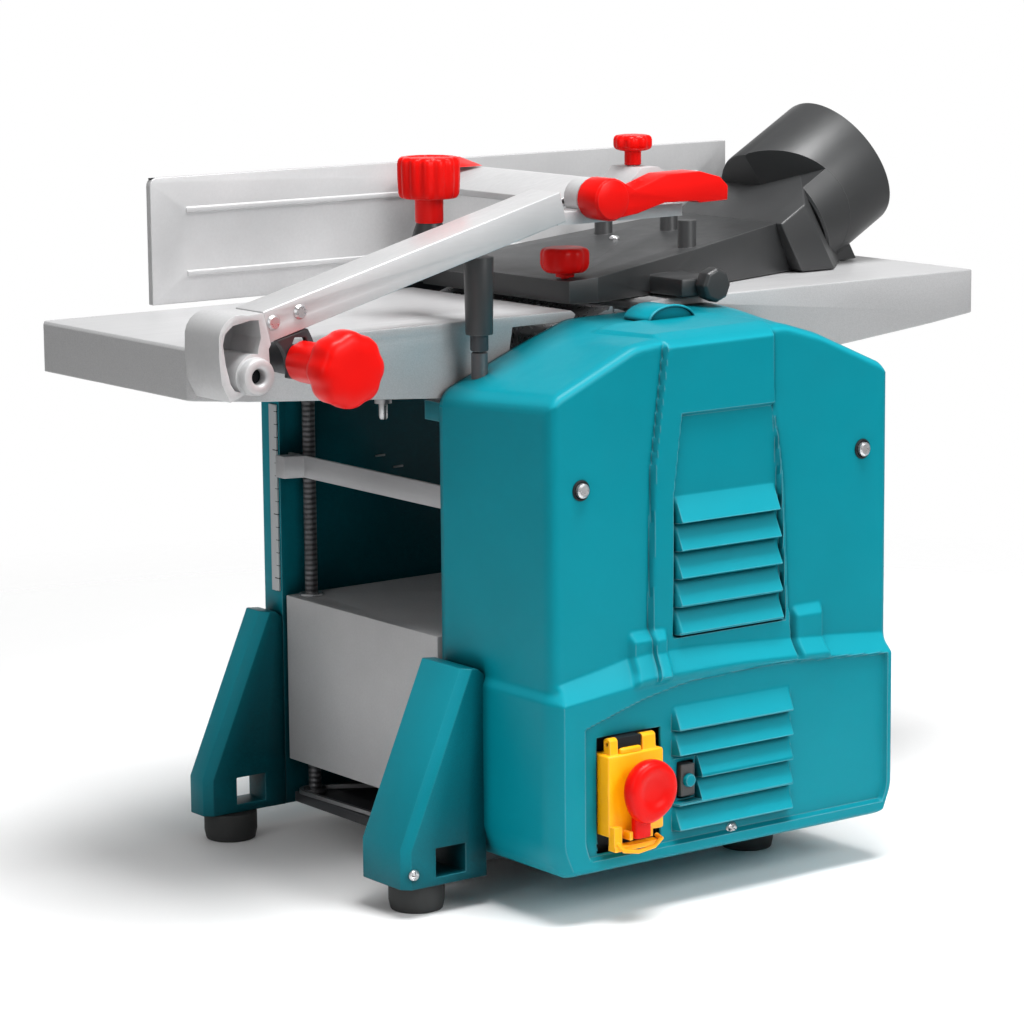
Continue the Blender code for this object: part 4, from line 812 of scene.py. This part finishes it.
def make_clamp_knob():
    axis = upright_axis("guard_clamp_knob")
    profile = [
        (0.0055, 0.5206, 0), (0.0062, 0.5212, 0), (0.0062, 0.5308, 0), (0.0105, 0.5316, 0.4),
        (0.0128, 0.5324, 0.8), (0.014, 0.5338, 1), (0.0144, 0.5355, 1), (0.0144, 0.5395, 1),
        (0.0138, 0.5414, 1), (0.0124, 0.5426, 0.8), (0.0095, 0.543, 0.3), (0.006, 0.5428, 0),
    ]
    lobed("guard_clamp_knob_shape", axis, UP, profile, 8, 0.0016, "red_plastic", "guard_clamp_knob",
          ["guard_clamp_knob"], 10)
    stem = [(0.0026, 0.5085), (0.003, 0.509), (0.003, 0.5207)]
    turned("guard_clamp_stem", axis, UP, stem, "bright_steel", "guard_clamp_knob", sides=24)


# ---------------------------------------------------------------- blocks, outlines and rods


def bar(name, low, high, round_edge, material, body):
    """A block with all its edges rounded, between two corners of the design frame."""
    made = bmesh.new()
    bmesh.ops.create_cube(made, size=1)
    near, far = at(*low), at(*high)
    for vert in made.verts:
        vert.co = Vector(near[i] + (far[i] - near[i]) * (vert.co[i] + 0.5) for i in range(3))
    rounded(made, made.edges[:], round_edge)
    new_piece(name, made, material, body)


def prism(name, outline, front, back, round_edge, material, body):
    """An outline in X and Z pushed through from front to back and rounded at its edges."""
    made = bmesh.new()
    skin(made, [[made.verts.new(at(x, y, z)) for x, z in outline] for y in (front, back)])
    edges = [edge for edge in made.edges if edge.calc_face_angle(0) > math.radians(30)]
    rounded(made, edges, round_edge)
    return new_piece(name, made, material, body)


def rod(name, points, radius, material, body):
    """A round rod or seal along a chain of points."""
    curve = bpy.data.curves.new(name, "CURVE")
    curve.dimensions = "3D"
    curve.bevel_depth = radius
    curve.bevel_resolution = 4
    curve.use_fill_caps = True
    spline = curve.splines.new("POLY")
    spline.points.add(len(points) - 1)
    for point, place in zip(spline.points, points):
        point.co = (*place, 1)
    holder = bpy.data.objects.new(name, curve)
    bpy.context.scene.collection.objects.link(holder)
    bpy.context.view_layer.update()
    mesh = bpy.data.meshes.new_from_object(holder.evaluated_get(bpy.context.evaluated_depsgraph_get()))
    bpy.data.objects.remove(holder, do_unlink=True)
    made = bmesh.new()
    made.from_mesh(mesh)
    bpy.data.meshes.remove(mesh)
    bmesh.ops.remove_doubles(made, verts=made.verts, dist=0.00001)
    new_piece(name, made, material, body)


def screw_head(name, place, direction, radius):
    """A pan-head screw with a cross recess."""
    profile = [(1, 0), (1, 0.25), (0.94, 0.42), (0.75, 0.58), (0.45, 0.68), (0.0005 / radius, 0.7)]

    def form(share, rise, around):
        cross = max(abs(math.cos(around)), abs(math.sin(around)))
        sink = 0.35 * smooth(cross, 0.93, 0.98) * (1 - smooth(share, 0.45, 0.6))
        return share * radius, (rise - sink) * radius

    revolved(name, place, direction, profile, 32, form, "bright_steel", "frame", angle=40)


# ---------------------------------------------------------------- switch


def make_paddle():
    """The stop paddle's oval cap, dished in its face, and the tail that hangs on the lid's pin."""
    profile = [
        (0.0085, 0.0055, 0), (0.0088, 0.0005, 0), (0.02, 0.0002, 0.6), (0.021, -0.001, 1),
        (0.0215, -0.0035, 1), (0.0214, -0.007, 1), (0.0207, -0.0092, 1), (0.0194, -0.0106, 1),
        (0.0176, -0.0114, 0.7), (0.015, -0.0115, 0.3), (0.0118, -0.0108, 0), (0.0105, -0.0098, 0),
        (0.007, -0.0092, 0), (0.001, -0.009, 0),
    ]
    longest = math.radians(110)

    def form(radius, depth, share, around):
        return radius + 0.003 * share * max(0.0, math.cos(around - longest)) ** 6, depth

    revolved("stop_paddle_cap", at(-0.0993, -0.2645, 0.0975), BACK, profile, 64, form, "red_plastic",
             "stop_paddle", ["stop_paddle"], 40)
    bar("stop_paddle_tail", (-0.1103, -0.2672, 0.0617), (-0.0963, -0.26, 0.082), 0.0022, "red_plastic",
        "stop_paddle")


def make_switch_inside():
    """The start and stop buttons, which show once the yellow lid is up, and the reset button beside it."""
    button = [(0.0078, 0.0), (0.0078, 0.005), (0.007, 0.006), (0.005, 0.0063), (0.0008, 0.006)]
    turned("start_push", at(-0.1133, -0.2348, 0.0955), FRONT, button, "green_plastic", "frame", sides=36)
    turned("stop_push", at(-0.0893, -0.2348, 0.0955), FRONT, button, "red_plastic", "frame", sides=36)
    reset = [(0.005, 0.0), (0.005, 0.003), (0.0042, 0.0042), (0.002, 0.0046), (0.0004, 0.0046)]
    turned("reset_push", at(-0.0475, -0.247, 0.092), FRONT, reset, "teal_plastic", "reset_button", sides=36)


# ---------------------------------------------------------------- fixings and trim


def make_fixings():
    screw_head("cover_screw_lower", at(-0.004, -0.2424, 0.048), FRONT, 0.0052)
    screw_head("leg_screw_front", at(-0.227, -0.1591, 0.033), FRONT, 0.004)
    screw_head("hood_screw", at(0.112, 0.038, 0.4492), UP, 0.004)
    # Near-black rings round the cover's screws: painted shade in their sockets.
    seat = [(0.0056, -0.0015), (0.0072, -0.001), (0.0074, 0.0004), (0.0066, 0.001), (0.0056, 0.0006)]
    for x, z, proud in ((-0.136, 0.311, 0.0002), (0.126, 0.314, 0.0002), (-0.004, 0.048, 0.0045)):
        place = at(x, COVER_FRONT - proud, z)
        name = "screw_seat_%d" % round(x * 1000 + 500)
        turned(name, place, FRONT, seat, "dark_recess", "frame", sides=32)


def make_trim():
    """Small pieces that the hood, the table and the guard carry."""
    outline = [(0.0018 + 0.0208 * math.cos(math.radians(a)), 0.4125 + 0.011 * math.sin(math.radians(a)))
               for a in range(0, 181, 12)]
    prism("cover_finger_scoop", outline, -0.169, -0.138, 0.0014, "teal_plastic", "frame")
    rod("cover_scoop_rim", [at(x, -0.1692, z) for x, z in outline], 0.0011, "teal_plastic", "frame")
    collar = [(0.0056, 0), (0.0095, 0), (0.0098, 0.0006), (0.009, 0.0016), (0.0056, 0.0018)]
    turned("lift_screw_collar", at(-0.146, 0.089, 0.1881), UP, collar, "bright_steel", "thickness_table")
    hub = [(0.015, -0.0015), (0.015, 0.0), (0.014, 0.0016), (0.011, 0.0026), (0.006, 0.0031),
           (0.0006, 0.0033)]
    turned("lever_hub_cap", at(-0.041, -0.1543, 0.502), FRONT, hub, "red_plastic", "guard_lever", sides=48)
    bolt = [(0.0034, 0.0), (0.0034, 0.02), (0.0066, 0.0202), (0.0066, 0.0262), (0.0034, 0.0264),
            (0.0034, 0.037), (0.0026, 0.0385), (0.0004, 0.0388)]
    turned("table_bolt", at(-0.124, 0.02, 0.369), DOWN, bolt, "bright_steel", "infeed_table", sides=36)
    for name, x, z in (("wall_slot_left", -0.0688, 0.287), ("wall_slot_right", -0.0518, 0.2766)):
        low, high = (x - 0.0045, 0.1046, z - 0.001), (x + 0.0045, 0.106, z + 0.0006)
        bar(name, low, high, 0.0003, "grey_steel", "frame")
    near, far = (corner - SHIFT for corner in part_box("fence_plate"))
    bar("fence_top_strip", (near.x + 0.001, 0.1062, far.z - 0.0012), (far.x - 0.001, 0.1092, far.z - 0.00005),
        0.0004, "dark_recess", "fence")
    bar("lid_hinge_hump", (-0.114, -0.2546, 0.1205), (-0.095, -0.247, 0.1262), 0.0018, "yellow_plastic",
        "switch_lid")
    hook = [(-0.1222, -0.26, 0.06), (-0.12, -0.2655, 0.0552), (-0.11, -0.269, 0.054),
            (-0.096, -0.269, 0.0556), (-0.086, -0.265, 0.059), (-0.085, -0.258, 0.06)]
    rod("lid_hook", [at(*point) for point in hook], 0.0016, "yellow_plastic", "switch_lid")
    spindle_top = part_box("lift_spindle")[1].z
    socket_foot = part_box("crank")[0].z
    drive = [(0.0004, spindle_top + 0.0006), (0.0062, spindle_top + 0.0006), (0.0066, spindle_top + 0.0016),
             (0.0066, socket_foot + 0.006), (0.0004, socket_foot + 0.0062)]
    turned("crank_drive_end", upright_axis("lift_spindle"), UP, drive, "dark_paint", "crank", sides=32)


def make_rear_details():
    """Screws, vent lips and painted shade under the lips on the rear cover's outer face."""
    near, far = (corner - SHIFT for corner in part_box("rear_cover"))
    middle = (near.x + far.x) / 2
    for i in range(6):
        z = near.z + 0.045 + i * 0.016
        # A near-black bar under each lip: painted shade in the vent slit.
        low, high = (middle - 0.048, far.y - 0.001, z), (middle + 0.048, far.y + 0.0002, z + 0.005)
        bar("rear_vent_slit_shade_%d" % i, low, high, 0.0001, "dark_recess", "frame")
        low, high = (middle - 0.05, far.y - 0.001, z + 0.0046), (middle + 0.05, far.y + 0.0022, z + 0.009)
        bar("rear_vent_lip_%d" % i, low, high, 0.0009, "teal_plastic", "frame")
    inset = 0.016
    low, high = near.z + inset, far.z - 0.03
    left, right = near.x + inset, far.x - inset
    for i, (x, z) in enumerate(((left, low), (right, low), (left, high), (right, high))):
        screw_head("rear_cover_screw_%d" % i, at(x, far.y + 0.0002, z), BACK, 0.0044)


# ---------------------------------------------------------------- build

REFINED = {
    "base_pan": ("dark_paint", 0.0008),
    "front_side_wall": ("teal_paint", 0.0012),
    "rear_side_wall": ("teal_paint", 0.002),
    "rear_cover": ("teal_plastic", 0.003),
    "front_left_leg": ("teal_paint", 0.0022),
    "rear_left_leg": ("teal_paint", 0.0022),
    **{"foot_" + corner: ("rubber", 0.0008)
       for corner in ("front_left", "rear_left", "front_right", "rear_right")},
    "infeed_table": ("machined_table", 0.0012),
    "outfeed_table": ("machined_table", 0.0012),
    "thickness_table": ("lift_table_aluminium", 0.0015),
    "crank": ("black_plastic", 0.0012),
    "fence_plate": ("cast_aluminium", 0.0008),
    "fence_bracket": ("dark_paint", 0.0015),
    "fence_lock_knob": ("black_plastic", 0.001),
    "guard_arm_knuckle": ("cast_aluminium", 0.0018),
    "guard_arm_tube": ("extruded_aluminium", 0.0012),
    "guard_bar": ("extruded_aluminium", 0.0006),
    "guard_bar_end_cap": ("red_plastic", 0.0008),
    "guard_carrier": ("cast_aluminium", 0.0012),
    "guard_lever": ("red_plastic", 0.0026),
    "dust_hood": ("black_plastic", 0.0014),
    "hood_latch_knob": ("black_plastic", 0.0008),
    "switch_housing": ("dark_recess", 0.0006),
    "motor": ("dark_paint", 0.0015),
    "chip_guard_bar": ("spring_steel", 0.0004),
    "switch_lid": ("yellow_plastic", 0.0012),
    "feed_gearbox": ("cast_aluminium", 0.002),
}

RESHAPED = {"crank": slim_crank, "front_left_leg": chamfered_leg, "rear_left_leg": chamfered_leg}

for node_name, (material_name, edge_width) in REFINED.items():
    refined(node_name, material_name, edge_width, RESHAPED.get(node_name))

KEPT = {
    "scale_strip": ["thickness_scale"],
    "bright_steel": ["cutter_block", "planer_knife_a", "planer_knife_b", "cutter_bearing_front",
                     "cutter_bearing_rear", "arm_rivet_lower", "arm_rivet_upper", "cover_screw_left",
                     "cover_screw_right"],
    "grey_steel": ["infeed_roller", "outfeed_roller", "cutter_pulley", "motor_pulley", "feed_chain",
                   "lift_chain"],
    "rubber": ["drive_belt"],
    "leadscrew_steel": ["rear_leadscrew", "front_leadscrew"],
    "black_plastic": ["reset_button"],
}

for material_name, node_names in KEPT.items():
    for node_name in node_names:
        materials = frame["nodes"][node_name].data.materials
        materials.clear()
        materials.append(MATERIALS[material_name])

make_front_cover()
make_crank_grip()
make_spindle_top()
make_arm_lock_knob()
make_pivot_ring()
make_slot_lug()
make_chute()
make_rear_details()
make_hood_knob()
make_clamp_knob()
make_paddle()
make_switch_inside()
make_fixings()
make_trim()

# ---------------------------------------------------------------- stage

SKY_STRENGTH = 0.3

# The way the camera looks: the surroundings are brightest there, within these two cosines of it
BACKDROP = (0.586, 0.791, -0.172)
BACKDROP_FROM, BACKDROP_TO = 0.8, 0.95

# Distances from the middle at which the floor starts to fade and is gone
FLOOR_CLEAR = 0.62
FLOOR_GONE = 1.35


def make_stage():
    """A pale floor that fades out into the pale surroundings."""
    made = bmesh.new()
    bmesh.ops.create_grid(made, x_segments=1, y_segments=1, size=FLOOR_GONE * 1.1)
    mesh = bpy.data.meshes.new("studio_floor")
    made.to_mesh(mesh)
    made.free()
    floor = bpy.data.objects.new("studio_floor", mesh)
    bpy.context.scene.collection.objects.link(floor)
    nodes = Nodes("studio_floor")
    tone = nodes.mix(nodes.noise(3), (0.9, 0.9, 0.9), (0.93, 0.93, 0.93))
    nodes.link(tone, nodes.shader.inputs["Base Color"])
    nodes.shader.inputs["Roughness"].default_value = 0.6
    nodes.shader.inputs["Specular IOR Level"].default_value = 0.2
    away = nodes.add("ShaderNodeVectorMath", operation="LENGTH")
    nodes.link(nodes.place, away.inputs[0])
    fade = nodes.remap(away.outputs["Value"], FLOOR_CLEAR, FLOOR_GONE, 1, 0)
    nodes.link(fade, nodes.shader.inputs["Alpha"])
    mesh.materials.append(nodes.material)


def area_light(name, place, aim, size, power):
    light = bpy.data.lights.new(name, "AREA")
    light.shape = "RECTANGLE"
    light.size, light.size_y = size
    light.energy = power
    holder = bpy.data.objects.new(name, light)
    holder.location = place
    holder.rotation_mode = "QUATERNION"
    holder.rotation_quaternion = (Vector(aim) - Vector(place)).to_track_quat("-Z", "Y")
    bpy.context.scene.collection.objects.link(holder)


def make_lights():
    middle = (0, 0, 0.28)
    area_light("key_softbox", (0.6, -2.5, 1.7), middle, (1.2, 1.2), 40)
    area_light("left_softbox", (-2.6, -0.9, 1.2), middle, (1.2, 1.6), 10)
    area_light("top_softbox", (-0.1, -0.5, 2.5), middle, (1.3, 0.9), 78)
    world = bpy.data.worlds.new("studio")
    world.use_nodes = True
    tree = world.node_tree
    background = tree.nodes["Background"]
    background.inputs["Color"].default_value = (1, 1, 1, 1)
    place = tree.nodes.new("ShaderNodeTexCoord")
    facing = tree.nodes.new("ShaderNodeVectorMath")
    facing.operation = "DOT_PRODUCT"
    facing.inputs[1].default_value = BACKDROP
    tree.links.new(place.outputs["Generated"], facing.inputs[0])
    fade = tree.nodes.new("ShaderNodeMapRange")
    fade.interpolation_type = "SMOOTHSTEP"
    fade.inputs["From Min"].default_value = BACKDROP_FROM
    fade.inputs["From Max"].default_value = BACKDROP_TO
    fade.inputs["To Min"].default_value = SKY_STRENGTH
    fade.inputs["To Max"].default_value = 1.0
    tree.links.new(facing.outputs["Value"], fade.inputs["Value"])
    tree.links.new(fade.outputs["Result"], background.inputs["Strength"])
    bpy.context.scene.world = world


def make_camera():
    """The camera's place in the design frame, its turn, pitch and roll, and its lens."""
    turn = math.radians(-36.53)
    pitch = math.radians(9.95)
    roll = math.radians(-0.52)
    forward = Vector((-math.sin(turn) * math.cos(pitch), math.cos(turn) * math.cos(pitch), -math.sin(pitch)))
    across = Vector((math.cos(turn), math.sin(turn), 0))
    up = across.cross(forward)
    right = across * math.cos(roll) + up * math.sin(roll)
    above = up * math.cos(roll) - across * math.sin(roll)
    data = bpy.data.cameras.new("camera")
    data.sensor_width = 36
    data.lens = 129.35
    camera = bpy.data.objects.new("camera", data)
    axes = Matrix((right, above, -forward)).transposed().to_4x4()
    camera.matrix_world = Matrix.Translation(at(-1.6765, -2.2374, 0.739)) @ axes
    bpy.context.scene.collection.objects.link(camera)
    bpy.context.scene.camera = camera


make_stage()
make_lights()
make_camera()
bpy.context.scene.view_settings.view_transform = "Standard"
